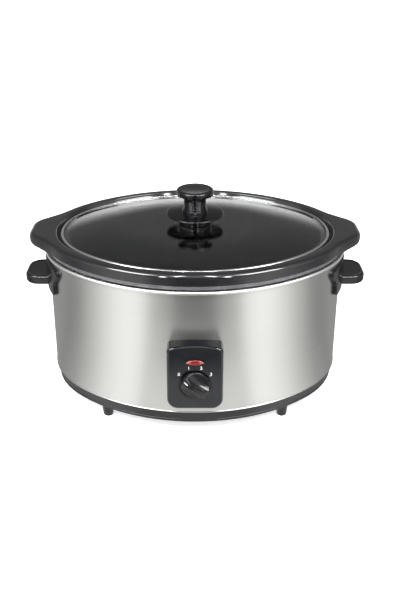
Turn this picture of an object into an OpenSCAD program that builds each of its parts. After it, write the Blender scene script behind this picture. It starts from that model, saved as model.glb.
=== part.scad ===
// Oval countertop cooker: steel body, heating liner, lift-out crock, loose glass lid and rotary control.
// Every wall is an offset of one four-centre oval, so shells nest at an even distance all the way round.

/* [Body] */
// Length of the steel body, end to end
body_length = 341; // [310:1:380]
// Width of the steel body, front to back
body_width = 272; // [250:1:300]
// Radius of the oval's rounded ends
end_radius = 113; // [104:1:118]
// Height of the steel wall
shell_height = 147.5; // [130:0.5:170]
// Thickness of the steel wall
shell_thickness = 0.8; // [0.5:0.1:1.5]

/* [Base tray and feet] */
// Height of the tray's visible band
tray_height = 13; // [10:0.5:18]
// Wall of the tray behind the steel
tray_wall = 3; // [2:0.1:4]
// Thickness of the tray's floor
tray_floor = 3; // [2:0.1:4]
// How far the tray's band leans in at the bottom
tray_draft = 2.75; // [1:0.25:4]
// Height of the tray's upstand inside the steel wall
tray_upstand = 6; // [4:0.5:10]
// Length of a vent slot in the tray's floor
vent_length = 34; // [20:1:44]
// Width of a vent slot
vent_width = 3; // [2:0.5:4]
// Height of a foot
foot_height = 16; // [13:0.5:22]
// Diameter of a foot where it meets the tray
foot_diameter = 14; // [12:0.5:18]
// Diameter of a foot where it stands
foot_tip = 11.5; // [10:0.5:12]
// Distance of a foot's centre in from the steel wall
foot_inset = 12; // [11:0.5:18]
// Turn of a foot about the side curve's centre, from straight ahead
foot_angle = 33; // [24:1:36]

/* [Heating liner] */
// Space from the steel wall's outside to the liner's outside
liner_gap = 14; // [13:0.5:18]
// Thickness of the liner's sheet
liner_thickness = 1; // [0.6:0.1:1.5]
// Clear height between the tray's floor and the liner
liner_lift = 14; // [13:0.5:20]
// Outside radius between the liner's wall and floor
liner_corner = 15; // [8:1:20]
// Radius of the rolled bead round the flange
bead_radius = 1.9; // [1.5:0.1:2.5]
// Height of the heater band
band_height = 60; // [40:1:80]
// Thickness of the heater band
band_thickness = 2.3; // [1.5:0.1:3]
// Height of the heater band above the liner's floor
band_lift = 18; // [16:1:26]
// Opening in the heater band at the back
band_gap = 16; // [12:1:24]

/* [Crock] */
// Wall of the crock
crock_wall = 8; // [6:0.5:10]
// Floor of the crock
crock_floor = 8; // [6:0.5:10]
// Space between the liner and the crock's wall at the top
crock_gap = 2.5; // [2:0.1:4]
// How much the crock narrows towards its floor, on each side
crock_draft = 3.5; // [1:0.5:6]
// Clear height under the crock
crock_lift = 2.5; // [1.5:0.5:5]
// Height of the crock's rim above the flange
rim_height = 17.4; // [15:0.1:22]
// How far the crock's rim stands out past the steel wall
rim_reach = 1; // [0:0.25:2]
// Rounding of the rim's top outer edge
rim_round = 5; // [3:0.5:6]
// Depth of the gallery that the lid sits in
gallery_depth = 8.5; // [7:0.5:10]
// How much the gallery's side opens out towards its mouth
gallery_flare = 2.6; // [1.5:0.1:4]
// Radius inside the crock between wall and floor
bowl_corner = 12; // [8:1:24]
// How far a lug reaches past the steel body's end
lug_reach = 20.5; // [14:0.5:24]
// Corner radius of a lug in plan
lug_corner = 25; // [18:1:28]
// Half length of a lug's straight tip
lug_tip = 9.6; // [5:0.2:16]

/* [Lid] */
// Distance of the lid's edge in from the steel wall
lid_inset = 15; // [13.5:0.5:18]
// Space beside the lid at the gallery's floor
lid_gap = 2; // [1:0.1:3]
// Thickness of the glass
glass_thickness = 4; // [3:0.5:5]
// Rise of the dome above its border
dome_rise = 9.2; // [6:0.2:14]
// End radius of the flat centre of the dome
dome_flat = 24; // [22:1:32]
// Sheet thickness of the lid's steel rim
rim_sheet = 0.8; // [0.5:0.1:1]
// Width of glass that the steel rim covers
rim_cover = 2.8; // [2.2:0.1:5]

/* [Lid knob] */
// Diameter of the guard disc
guard_diameter = 66; // [54:1:76]
// Diameter of the collar under the guard
collar_diameter = 37; // [32:1:40]
// Height of the collar
collar_height = 10; // [7:0.5:14]
// Thickness of the guard at its edge
guard_edge = 2; // [1.5:0.1:3]
// Rise of the guard's upper face towards its centre
guard_rise = 3.5; // [2:0.5:5]
// Diameter of the knob's neck
neck_diameter = 24.5; // [20:0.5:28]
// Height of the neck
neck_height = 18; // [14:0.5:24]
// Diameter of the knob's top
knob_diameter = 41; // [38:0.5:50]
// Thickness of the knob's top
knob_thickness = 7.2; // [6:0.2:10]
// Diameter of the cap let into the knob's top
cap_diameter = 29; // [22:0.5:30]
// Thickness of the cap
cap_thickness = 1.6; // [1:0.1:2.4]
// Thickness of the washer under the glass
knob_washer_thickness = 2.5; // [1.5:0.1:4]
// Diameter of the knob's screw
knob_screw_diameter = 5; // [4:0.5:6]

/* [Side handles] */
// How far a handle reaches past the steel body's end
grip_reach = 29; // [22:0.5:34]
// Width of the grip
grip_width = 52; // [46:1:64]
// Thickness of the grip
grip_thickness = 11.5; // [10:0.5:13]
// Depth of the grip's top below the steel wall's top
grip_drop = 32.5; // [30:0.5:42]
// Corner radius of the grip in plan
grip_corner = 16; // [12:1:20]
// Width of the plate on the body
plate_width = 108; // [92:1:114]
// Extra width of the plate on each side at its top
plate_flare = 11; // [6:0.5:12]
// Height of the plate
plate_height = 34.5; // [32:0.5:37]
// Thickness of the plate
plate_thickness = 4; // [3:0.5:5]
// Distance between a handle's two screws
handle_screw_spacing = 36; // [28:1:42]

/* [Control panel] */
// Width of the panel
panel_width = 60; // [54:1:72]
// Height of the panel at its middle
panel_height = 77; // [74:1:88]
// Height of the panel's foot above the tray
panel_lift = 15; // [11:0.5:20]
// How far the panel's face stands out from the steel wall
panel_depth = 16; // [14:0.5:20]
// Wall of the panel
panel_wall = 2.5; // [2:0.1:3]
// Rise of the panel's arched top edge
panel_arch = 2.5; // [1.5:0.1:4]
// Corner radius at the panel's top
panel_top_corner = 5; // [4:0.5:8]
// Corner radius at the panel's foot
panel_foot_corner = 12; // [8:0.5:16]
// Length of the indicator
lens_length = 19; // [16:0.5:23]
// Height of the indicator
lens_height = 6.4; // [5:0.2:8]
// Height of the indicator's centre above the dial's centre
lens_rise = 26.5; // [24:0.5:29]
// Diameter of the dial
dial_diameter = 31; // [28:0.5:34]
// Height of the dial's grip in front of the panel
dial_height = 13; // [11:0.5:16]
// Height of the dial's centre above the panel's foot
dial_rise = 31.5; // [28:0.5:35]
// Diameter of the recess round the dial
recess_diameter = 33.8; // [30:0.2:38]
// Depth of the recess round the dial
recess_depth = 1.2; // [0.8:0.1:1.5]
// Direction of the dial's grip at Off
dial_angle = 144; // [90:1:180]
// Diameter of the switch's shaft
shaft_diameter = 6; // [5:0.5:7]

/* [Cord gland] */
// Diameter of the gland's bore
gland_bore = 7.5; // [6:0.5:8]
// Width of the gland's neck
gland_neck = 13; // [12:0.5:15]
// Height of the bore above the tray
gland_rise = 12; // [10:0.5:16]
// How far the gland stands out from the steel wall
gland_reach = 3.5; // [2:0.5:5]

/* [Clearances] */
// Space between a piece and the wall it sits against
seat_gap = 0.2; // [0.1:0.05:0.3]
// Space between pieces that lift apart
lift_gap = 0.3; // [0.2:0.05:0.5]
// Radial space of a screw in its hole
screw_gap = 0.15; // [0.1:0.05:0.4]
// Radial space of the turning shaft in its bush
shaft_gap = 0.06; // [0.03:0.01:0.1]

/* [Hidden] */
$fn = 96;

// Colours
STEEL = [0.74, 0.74, 0.72];
BRIGHT = [0.85, 0.85, 0.84];
BLACK = [0.09, 0.09, 0.10];
GLAZE = [0.13, 0.13, 0.14];
GLASS = [0.80, 0.88, 0.88, 0.35];
RED = [0.75, 0.12, 0.10];
MICA = [0.62, 0.55, 0.40];
CERAMIC = [0.90, 0.88, 0.82];

// Length of a cut that passes right through
CLEAR = 200;

// Four-centre oval
half_length = body_length / 2;
half_width = body_width / 2;
end_centre = half_length - end_radius;
side_sag = half_width - end_radius;
side_drop = (end_centre * end_centre - side_sag * side_sag) / (2 * side_sag);
side_radius = half_width + side_drop;
end_angle = atan2(side_drop, end_centre);

// Wedges that divide the oval: their length, how far they pass its middle, their overlap in outlines
// and in sweeps, and how far a sweep overruns them, in degrees
wedge_reach = ceil(2 * body_length / min(end_centre, side_drop));
wedge_root = 0.1;
flat_lap = 0.05;
sweep_lap = 0.001;
sweep_spare = 5;

// Levels from the standing surface
tray_top = foot_height + tray_height;
floor_top = foot_height + tray_floor;
shell_top = tray_top + shell_height;
flange_top = shell_top + liner_thickness;
bead_proud = 0.3;
bead_top = flange_top + bead_proud;
liner_bottom = floor_top + liner_lift;
liner_inside = liner_gap + liner_thickness;
band_bottom = liner_bottom + band_lift;

// Crock section
rim_under = bead_top + lift_gap;
rim_top = rim_under + rim_height;
rim_edge = 1.5;
gallery_floor = rim_top - gallery_depth;
gallery_side = -(lid_inset - lid_gap);
gallery_mouth = gallery_side + gallery_flare;
crock_top_out = -(liner_inside + crock_gap);
crock_foot_out = crock_top_out - crock_draft;
crock_top_in = crock_top_out - crock_wall;
crock_foot_in = crock_foot_out - crock_wall;
crock_bottom = liner_bottom + liner_thickness + crock_lift;
bowl_floor = crock_bottom + crock_floor;
bowl_flat = crock_foot_in - bowl_corner - 5;
crock_corner = bowl_corner + 2;
lug_bottom = rim_under + 3;

// Lid levels
lid_bottom = gallery_floor + lift_gap;
glass_under = lid_bottom + rim_sheet;
glass_border = glass_under + glass_thickness;
glass_top = glass_border + dome_rise;
glass_edge = -(lid_inset + rim_sheet + seat_gap);
dome_start = -(lid_inset + rim_cover + 1);
dome_end = -(end_radius - dome_flat);
dome_run = dome_start - dome_end;
dome_radius = (dome_run * dome_run + dome_rise * dome_rise) / (2 * dome_rise);

// Knob levels above the glass
guard_under = glass_top + collar_height;
guard_top = guard_under + guard_edge + guard_rise;
neck_top = guard_top + neck_height;
knob_top = neck_top + knob_thickness;
screw_radius = knob_screw_diameter / 2;
washer_under = glass_top - glass_thickness - knob_washer_thickness;
knob_washer_step = 0.5;
glass_hole_gap = 1.2;
knob_screw_top = guard_top + neck_height / 2;

// Control panel in its own plane, x across and y up
panel_foot = tray_top + panel_lift;
panel_top = panel_foot + panel_height;
arch_radius = (panel_width * panel_width / 4 + panel_arch * panel_arch) / (2 * panel_arch);
arch_centre = panel_top - arch_radius;
top_corner_x = panel_width / 2 - panel_top_corner;
top_corner_y = arch_centre + sqrt(pow(arch_radius - panel_top_corner, 2) - top_corner_x * top_corner_x);
top_corner_turn = atan2(top_corner_y - arch_centre, top_corner_x);
foot_corner_x = panel_width / 2 - panel_foot_corner;
panel_face = half_width + panel_depth;
dial_level = panel_foot + dial_rise;
lens_level = dial_level + lens_rise;
lens_proud = 1.5;
lens_flange = 1.2;

// Switch
shaft_radius = shaft_diameter / 2;
bush_radius = shaft_radius + 2;
nut_radius = bush_radius + 3;
nut_height = 2.5;
bush_top = nut_height - recess_depth + 1;
switch_floor = 3;
switch_width = 24;
switch_depth = 15;
switch_back = panel_wall + switch_depth;
terminal_space = 2.5;
terminal_end = panel_depth + liner_gap - band_thickness - terminal_space;
shaft_inner = switch_back - switch_floor - lift_gap;
dial_plate = 4;
dial_socket = dial_height - dial_plate;

// Handle levels
grip_top = shell_top - grip_drop;
grip_bottom = grip_top - grip_thickness;
grip_tip = half_length + grip_reach;
handle_screw_level = grip_bottom + grip_thickness / 2;
handle_screw_radius = 2;
handle_screw_depth = 9;

// Foot screws and tray bosses
foot_screw_radius = 1.8;
foot_screw_head = 2.9;
foot_screw_head_height = 2.2;
foot_edge = 1;
foot_bore = 8;
boss_radius = 5;
boss_height = 9;

// Space past the end of a screw in its blind hole
tip_space = 1;

// Central fixing
stud_radius = 2.5;
nut_thickness = 4;
washer_thickness = 1.2;
stud_tail = 2;
stud_low = foot_height - washer_thickness - nut_thickness - stud_tail;

// Heater band's ears and bolt
ear_root = half_width - liner_gap + band_thickness / 2;
ear_tip = half_width - shell_thickness - 3;
ear_length = ear_tip - ear_root;
ear_middle = (ear_tip + ear_root) / 2;
ear_thickness = 1.5;
ear_level = band_bottom + band_height / 2;
band_bolt_radius = 1.5;

// Thermal fuse under the liner
fuse_radius = 2;
fuse_length = 14;
fuse_clip_sheet = 0.8;
fuse_y = -half_width / 3;
fuse_level = liner_bottom - fuse_radius - seat_gap;

// Terminal block on the tray's floor
block_length = 38;
block_width = 18;
block_height = 10;
block_poles = 3;

// The object's box is centred on its origin, front to back
front_reach = panel_face + dial_height;
back_reach = half_width + max(2 * bead_radius + seat_gap, gland_reach + seat_gap);
setback = (front_reach - back_reach) / 2;

// Points along an arc of a circle
function arc(centre, radius, from, to, steps = 6) = [
    for (i = [0:steps])
        let (turn = from + (to - from) * i / steps)
            centre + radius * [cos(turn), sin(turn)]
];

// Wedge that an end curve fills, from its centre outwards
module end_wedge(lap) {
    polygon([
        [end_centre - lap, 0],
        [end_centre * (1 + wedge_reach) - lap, -side_drop * wedge_reach],
        [end_centre * (1 + wedge_reach) - lap, side_drop * wedge_reach]
    ]);
}

// Wedge that a side curve fills, bounded by the same two lines, from a little past the middle
module side_wedge() {
    polygon([
        [-end_centre * (1 - wedge_root), -side_drop * wedge_root],
        [end_centre * (1 - wedge_root), -side_drop * wedge_root],
        [end_centre * wedge_reach, side_drop * (wedge_reach - 1)],
        [-end_centre * wedge_reach, side_drop * (wedge_reach - 1)]
    ]);
}

// Solid oval, offset from the outside of the steel wall
module oval(offset_by) {
    for (side = [0, 180]) {
        rotate(side) intersection() {
            translate([end_centre, 0]) circle(end_radius + offset_by);
            end_wedge(flat_lap);
        }
        rotate(side) intersection() {
            translate([0, -side_drop]) circle(side_radius + offset_by);
            side_wedge();
        }
    }
}

// Upright oval ring between two offsets
module oval_ring(outside, inside, bottom, height) {
    translate([0, 0, bottom]) linear_extrude(height) difference() {
        oval(outside);
        oval(inside);
    }
}

// Sweep of a section, offset across and height up, all round the oval
module oval_sweep() {
    for (side = [0, 180]) {
        rotate([0, 0, side]) intersection() {
            translate([end_centre, 0, 0])
                rotate_extrude(angle = 2 * (end_angle + sweep_spare), start = -end_angle - sweep_spare)
                    translate([end_radius, 0]) children();
            linear_extrude(knob_top) end_wedge(sweep_lap);
        }
        rotate([0, 0, side]) intersection() {
            translate([0, -side_drop, 0])
                rotate_extrude(angle = 180 - 2 * (end_angle - sweep_spare), start = end_angle - sweep_spare)
                    translate([side_radius, 0]) children();
            linear_extrude(knob_top) side_wedge();
        }
    }
}

// Places a shape on the panel's face at a level, x across, y up, z towards the front
module on_panel(level) {
    translate([0, -panel_face, level]) rotate([90, 0, 0]) children();
}

// Places a shape seen from an end, x towards the back, y up, z outwards
module from_end(distance) {
    translate([distance, 0, 0]) rotate([90, 0, 90]) children();
}

// Moves a piece from the oval's centre to the middle of the whole object's box
module stand() {
    translate([0, setback, 0]) children();
}

// Steel wall, open behind the panel, with screw holes at the handles and a notch for the gland
module outer_shell() {
    color(STEEL) difference() {
        oval_ring(0, -shell_thickness, tray_top, shell_height);
        on_panel(dial_level)
            translate([0, 0, -panel_depth - CLEAR / 8])
                linear_extrude(CLEAR / 4) square(switch_width + 4, center = true);
        handle_screw_places()
            cylinder(h = CLEAR, r = handle_screw_radius + screw_gap, center = true);
        gland_notch(gland_neck, half_width);
    }
}

// Tunnel for the gland's neck through the back wall, open at the bottom
module gland_notch(width, centre_y) {
    translate([0, centre_y + CLEAR / 8, tray_top]) rotate([90, 0, 0]) linear_extrude(CLEAR / 4)
        translate([-width / 2, -1]) square([width, gland_rise + width / 2 + 1]);
}

// Pressed pan with a flange that lies on the steel wall and a rolled bead round its edge
module heating_liner() {
    wall_out = -liner_gap;
    wall_in = -liner_inside;
    bend = [wall_out - liner_corner, liner_bottom + liner_corner];
    flat = wall_out - liner_corner - 6;
    bead_at = bead_radius + seat_gap;
    color(BRIGHT) union() {
        oval_sweep() {
            polygon(concat(
                [[bead_at, flange_top], [bead_at, shell_top], [wall_out, shell_top]],
                arc(bend, liner_corner, 0, -90),
                [[flat, liner_bottom], [flat, liner_bottom + liner_thickness]],
                arc(bend, liner_corner - liner_thickness, -90, 0),
                [[wall_in, flange_top]]
            ));
            translate([bead_at, bead_top - bead_radius]) circle(bead_radius, $fn = 32);
        }
        translate([0, 0, liner_bottom]) linear_extrude(liner_thickness) oval(flat + 2);
    }
}

// Element band round the liner, drawn together at the back by two ears
module heater_band() {
    band_in = seat_gap - liner_gap;
    band_out = band_in + band_thickness;
    color(MICA) difference() {
        union() {
            difference() {
                oval_ring(band_out, band_in, band_bottom, band_height);
                translate([-band_gap / 2, 0, band_bottom - 1])
                    cube([band_gap, body_width, band_height + 2]);
            }
            for (side = [-1, 1]) {
                translate([side * (band_gap + ear_thickness) / 2, ear_middle, ear_level])
                    cube([ear_thickness, ear_length, band_height / 3], center = true);
            }
        }
        band_bolt_place() cylinder(h = CLEAR / 2, r = band_bolt_radius + screw_gap, center = true);
    }
}

module band_bolt_place() {
    translate([0, ear_middle + 2 * seat_gap, ear_level]) rotate([0, 90, 0]) children();
}

module band_bolt() {
    grip = band_gap / 2 + ear_thickness;
    head = 2;
    tail = 5;
    color(BRIGHT) band_bolt_place() {
        translate([0, 0, -grip - head]) cylinder(h = head + 2 * grip + tail, r = band_bolt_radius);
        translate([0, 0, -grip - head]) cylinder(h = head, r = 2 * band_bolt_radius);
        translate([0, 0, grip]) cylinder(h = tail / 2, r = 2 * band_bolt_radius, $fn = 6);
    }
}

module thermal_fuse() {
    color(BRIGHT) translate([0, fuse_y, fuse_level]) rotate([0, 90, 0]) {
        cylinder(h = fuse_length, r = fuse_radius, center = true);
        cylinder(h = 2 * fuse_length, r = fuse_radius / 4, center = true);
    }
}

// Strap that holds the fuse up against the liner
module fuse_clip() {
    inside = fuse_radius + seat_gap;
    outside = inside + fuse_clip_sheet;
    drop = liner_bottom - fuse_level;
    color(BRIGHT) translate([-fuse_length / 4, fuse_y, fuse_level]) rotate([90, 0, 90])
        linear_extrude(fuse_length / 2) difference() {
            union() {
                circle(outside, $fn = 48);
                translate([-outside, 0]) square([2 * outside, drop]);
                translate([-3 * outside, drop - fuse_clip_sheet]) square([6 * outside, fuse_clip_sheet]);
            }
            circle(inside, $fn = 48);
            translate([-inside, 0]) square([2 * inside, drop + 1]);
            translate([-4 * outside, drop]) square([8 * outside, 2 * outside]);
        }
}

// Barrier strip where the mains is joined
module terminal_block() {
    pitch = block_length / block_poles;
    barrier = 3;
    color(CERAMIC) translate([-block_length / 2, half_width / 3, floor_top]) difference() {
        cube([block_length, block_width, block_height]);
        for (i = [0:block_poles - 1], row = [-1, 1]) {
            translate([i * pitch + barrier / 2, block_width / 2 + row * block_width * 2 / 3, block_height])
                translate([0, -block_width / 2, -block_height / 2])
                    cube([pitch - barrier, block_width, block_height]);
        }
    }
}

// Moulded floor with a band under the steel wall, an upstand inside it, vents and foot bosses
module base_tray() {
    ledge = -(shell_thickness + seat_gap);
    inner = ledge - tray_wall;
    flat = inner - 2 * boss_radius;
    edge = 1.5;
    color(BLACK) difference() {
        union() {
            oval_sweep() polygon([
                [flat, foot_height], [-tray_draft - edge, foot_height], [-tray_draft, foot_height + edge],
                [0, tray_top], [ledge, tray_top], [ledge, tray_top + tray_upstand],
                [inner, tray_top + tray_upstand], [inner, floor_top], [flat, floor_top]
            ]);
            translate([0, 0, foot_height]) linear_extrude(tray_floor) oval(flat + 2);
            foot_places() translate([0, 0, floor_top - 1]) cylinder(h = boss_height + 1, r = boss_radius);
        }
        foot_places() translate([0, 0, foot_height - 1])
            cylinder(h = 1 + tray_floor + boss_height - tip_space, r = foot_screw_radius + screw_gap);
        translate([0, 0, foot_height - 1]) cylinder(h = tray_floor + 2, r = stud_radius + screw_gap);
        tray_vents();
        translate([-gland_neck, half_width - CLEAR / 8, tray_top])
            cube([2 * gland_neck, CLEAR / 4, CLEAR]);
    }
}

// Two rows of slots across the floor, left and right of the middle
module tray_vents() {
    pitch = 3 * vent_width;
    for (side = [-1, 1]) {
        for (i = [0:4]) {
            translate([side * (end_centre / 2 + i * pitch), 0, foot_height + tray_floor / 2])
                cube([vent_width, vent_length, 2 * tray_floor], center = true);
        }
    }
}

function foot_place(across, along) = [
    across * (side_radius - foot_inset) * sin(foot_angle),
    along * ((side_radius - foot_inset) * cos(foot_angle) - side_drop),
    0
];

module foot_places() {
    for (across = [-1, 1], along = [-1, 1]) translate(foot_place(across, along)) children();
}

// Tapered peg, counterbored for its screw
module foot(across, along) {
    color(BLACK) translate(foot_place(across, along)) difference() {
        rotate_extrude() polygon(concat(
            [[0, 0]],
            arc([foot_tip / 2 - foot_edge, foot_edge], foot_edge, -90, 0, 4),
            [[foot_diameter / 2, foot_height], [0, foot_height]]
        ));
        translate([0, 0, -1]) cylinder(h = foot_bore + 1, r = foot_screw_head + screw_gap);
        cylinder(h = foot_height + 1, r = foot_screw_radius + screw_gap);
    }
}

module foot_front_left() foot(-1, -1);
module foot_front_right() foot(1, -1);
module foot_rear_left() foot(-1, 1);
module foot_rear_right() foot(1, 1);

module foot_screws() {
    head_bottom = foot_bore - foot_screw_head_height;
    color(BRIGHT) foot_places() translate([0, 0, head_bottom]) {
        cylinder(h = foot_screw_head_height, r = foot_screw_head);
        cylinder(h = floor_top + boss_height - 2 * tip_space - head_bottom, r = foot_screw_radius);
    }
}

// Stud welded under the liner's centre
module base_stud() {
    color(BRIGHT) translate([0, 0, stud_low]) cylinder(h = liner_bottom - stud_low, r = stud_radius);
}

module base_washer() {
    color(BRIGHT) translate([0, 0, foot_height - washer_thickness]) difference() {
        cylinder(h = washer_thickness, r = 4 * stud_radius);
        translate([0, 0, -1]) cylinder(h = washer_thickness + 2, r = stud_radius + screw_gap);
    }
}

module base_nut() {
    color(BRIGHT) translate([0, 0, foot_height - washer_thickness - nut_thickness]) difference() {
        cylinder(h = nut_thickness, r = 1.9 * stud_radius, $fn = 6);
        translate([0, 0, -1]) cylinder(h = nut_thickness + 2, r = stud_radius + screw_gap);
    }
}

// Outline of the gland's two flanges, a round head over a straight foot
module gland_outline(width) {
    translate([0, gland_rise]) circle(width / 2);
    translate([-width / 2, 0]) square([width, gland_rise]);
}

// Bush with a groove that slides up the notch in the steel wall
module cord_gland() {
    flange = gland_neck + 6;
    neck = gland_neck - 2 * seat_gap;
    neck_height = gland_rise + neck / 2;
    groove = shell_thickness + 2 * seat_gap;
    inner = 2.5;
    color(BLACK) translate([0, half_width + seat_gap, tray_top]) rotate([-90, 0, 0]) mirror([0, 1, 0])
        difference() {
            union() {
                linear_extrude(gland_reach) gland_outline(flange);
                translate([0, 0, -groove - inner]) linear_extrude(inner) gland_outline(flange);
                translate([0, 0, -groove - 1]) linear_extrude(groove + 2)
                    translate([-neck / 2, seat_gap]) square([neck, neck_height - seat_gap]);
            }
            translate([0, gland_rise, -CLEAR / 2]) cylinder(h = CLEAR, r = gland_bore / 2);
        }
}

// Rounded plan of a grip, drawn in from its outline
module grip_plan(inset) {
    corner = grip_corner - inset;
    at = [grip_tip - grip_corner, grip_width / 2 - grip_corner];
    root = half_length - plate_thickness;
    polygon(concat(
        [[root, -grip_width / 2 + inset]],
        arc([at[0], -at[1]], corner, -90, 0),
        arc(at, corner, 0, 90),
        [[root, grip_width / 2 - inset]]
    ));
}

// Side view of a grip, deeper at the body, rounded under its tip
module grip_side() {
    under = grip_thickness / 2;
    edge = 2;
    polygon(concat(
        [[0, grip_bottom], [half_length, grip_bottom]],
        arc([grip_tip - under, grip_bottom + under], under, -90, 0),
        arc([grip_tip - edge, grip_top - edge], edge, 0, 90, 4),
        [[0, grip_top]]
    ));
}

// Outline of the plate on the body, seen from the end
module plate_outline() {
    half = plate_width / 2;
    foot_corner = 3;
    corner = 6;
    top = grip_bottom + plate_height;
    shoulder = top - 0.7 * plate_flare;
    waist = shoulder - 1.2 * plate_flare;
    polygon(concat(
        arc([-half + foot_corner, grip_bottom + foot_corner], foot_corner, 180, 270),
        arc([half - foot_corner, grip_bottom + foot_corner], foot_corner, 270, 360),
        [[half, waist], [half + plate_flare, shoulder]],
        arc([half + plate_flare - corner, top - corner], corner, 0, 90),
        arc([-half - plate_flare + corner, top - corner], corner, 90, 180),
        [[-half - plate_flare, shoulder], [-half, waist]]
    ));
}

// Dished shelf grip on a curved plate, cored from below
module handle() {
    dish = 1.2;
    lip = 2.5;
    core = grip_thickness - 3;
    difference() {
        union() {
            intersection() {
                oval_ring(plate_thickness, seat_gap, grip_bottom, plate_height);
                from_end(0) linear_extrude(body_length) plate_outline();
            }
            difference() {
                intersection() {
                    translate([0, 0, grip_bottom]) linear_extrude(grip_thickness) grip_plan(0);
                    translate([0, grip_width, 0]) rotate([90, 0, 0])
                        linear_extrude(2 * grip_width) grip_side();
                }
                translate([0, 0, grip_bottom - 1]) linear_extrude(grip_thickness + 2) oval(seat_gap);
                translate([0, 0, grip_top - dish]) linear_extrude(grip_thickness) intersection() {
                    grip_plan(lip);
                    translate([half_length + plate_thickness, -grip_width]) square(2 * grip_width);
                }
                translate([0, 0, grip_bottom - 1]) linear_extrude(core + 1) difference() {
                    intersection() {
                        grip_plan(lip + 1);
                        translate([half_length + grip_reach / 2, -grip_width]) square(2 * grip_width);
                    }
                    square([body_length + 4 * grip_reach, lip], center = true);
                }
            }
        }
        handle_screw_holes();
    }
}

module handle_screw_holes() {
    for (side = [-1, 1]) {
        translate([half_length - CLEAR / 8, side * handle_screw_spacing / 2, handle_screw_level])
            rotate([0, 90, 0])
                cylinder(h = CLEAR / 8 + handle_screw_depth, r = handle_screw_radius + screw_gap);
    }
}

// All four handle screws' axes, pointing outwards
module handle_screw_places() {
    for (turn = [0, 180], side = [-1, 1]) {
        rotate([0, 0, turn]) translate([half_length, side * handle_screw_spacing / 2, handle_screw_level])
            rotate([0, 90, 0]) children();
    }
}

module handle_right() color(BLACK) handle();
module handle_left() color(BLACK) mirror([1, 0, 0]) handle();

// Screws from inside the steel wall, two to a handle
module handle_screws() {
    wall_inside = end_radius - shell_thickness;
    head = 2;
    head_radius = 1.8 * handle_screw_radius;
    far_side = handle_screw_spacing / 2 + head_radius;
    seat = end_radius - sqrt(wall_inside * wall_inside - far_side * far_side) + seat_gap;
    color(BRIGHT) handle_screw_places() translate([0, 0, -seat - head]) {
        cylinder(h = head, r = head_radius);
        cylinder(h = head + seat + handle_screw_depth - tip_space, r = handle_screw_radius);
    }
}

// Front outline of the panel, drawn in from its edge
module panel_outline(inset) {
    polygon(concat(
        arc([foot_corner_x, panel_foot + panel_foot_corner], panel_foot_corner - inset, -90, 0),
        arc([top_corner_x, top_corner_y], panel_top_corner - inset, 0, top_corner_turn),
        arc([0, arch_centre], arch_radius - inset, top_corner_turn, 180 - top_corner_turn, 12),
        arc([-top_corner_x, top_corner_y], panel_top_corner - inset, 180 - top_corner_turn, 180),
        arc([-foot_corner_x, panel_foot + panel_foot_corner], panel_foot_corner - inset, 180, 270)
    ));
}

// Moulded cap on the front of the body, hollow behind its face
module control_panel() {
    color(BLACK) difference() {
        on_panel(0) translate([0, 0, -2 * panel_depth]) linear_extrude(2 * panel_depth) panel_outline(0);
        on_panel(0) translate([0, 0, -3 * panel_depth])
            linear_extrude(3 * panel_depth - panel_wall) panel_outline(panel_wall);
        translate([0, 0, panel_foot - 1]) linear_extrude(panel_height + 2) oval(seat_gap);
        on_panel(dial_level) {
            translate([0, 0, -recess_depth]) cylinder(h = 2 * recess_depth, r = recess_diameter / 2);
            translate([0, 0, -panel_wall - 1]) cylinder(h = panel_wall + 2, r = bush_radius + screw_gap);
        }
        on_panel(lens_level) translate([0, 0, -panel_wall - 1])
            linear_extrude(panel_wall + 2) lens_outline(seat_gap);
    }
}

// Two arcs that meet in a point at each end
module lens_outline(grow) {
    half = lens_length / 2 + grow;
    rise = lens_height / 2 + grow;
    curve = (half * half + rise * rise) / (2 * rise);
    intersection() {
        translate([0, rise - curve]) circle(curve);
        translate([0, curve - rise]) circle(curve);
    }
}

// Red window, let through the panel from behind
module indicator_lens() {
    color(RED) on_panel(lens_level) {
        translate([0, 0, -panel_wall]) linear_extrude(panel_wall + lens_proud) lens_outline(0);
        translate([0, 0, -panel_wall - lens_flange])
            linear_extrude(lens_flange) lens_outline(lens_flange);
    }
}

// Neon lamp behind the window
module indicator_lamp() {
    lamp_radius = 2.6;
    lamp_length = 8;
    color(GLASS) on_panel(lens_level) translate([0, 0, -panel_wall - lens_flange - lamp_length]) {
        cylinder(h = lamp_length, r = lamp_radius, $fn = 48);
        sphere(lamp_radius, $fn = 48);
    }
}

// Rotary switch: case, threaded bush through the panel, and tabs at the back
module switch_body() {
    tab = [5, 0.8];
    color(CERAMIC) on_panel(dial_level) difference() {
        union() {
            translate([0, 0, -switch_back])
                linear_extrude(switch_depth) square(switch_width, center = true);
            translate([0, 0, -switch_back]) cylinder(h = switch_back + bush_top, r = bush_radius);
            for (i = [-1:1]) {
                translate([i * switch_width / 3, switch_width / 4, -terminal_end])
                    linear_extrude(terminal_end - switch_back + 1) square(tab, center = true);
            }
        }
        translate([0, 0, switch_floor - switch_back]) cylinder(h = CLEAR, r = shaft_radius + shaft_gap);
    }
}

module switch_nut() {
    color(BRIGHT) on_panel(dial_level) translate([0, 0, -recess_depth]) difference() {
        cylinder(h = nut_height, r = nut_radius, $fn = 6);
        translate([0, 0, -1]) cylinder(h = nut_height + 2, r = bush_radius + screw_gap);
    }
}

// Turning shaft, from inside the switch to inside the dial
module switch_shaft() {
    color(BRIGHT) on_panel(dial_level)
        translate([0, 0, -shaft_inner])
            cylinder(h = shaft_inner + dial_socket - lift_gap, r = shaft_radius);
}

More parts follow.
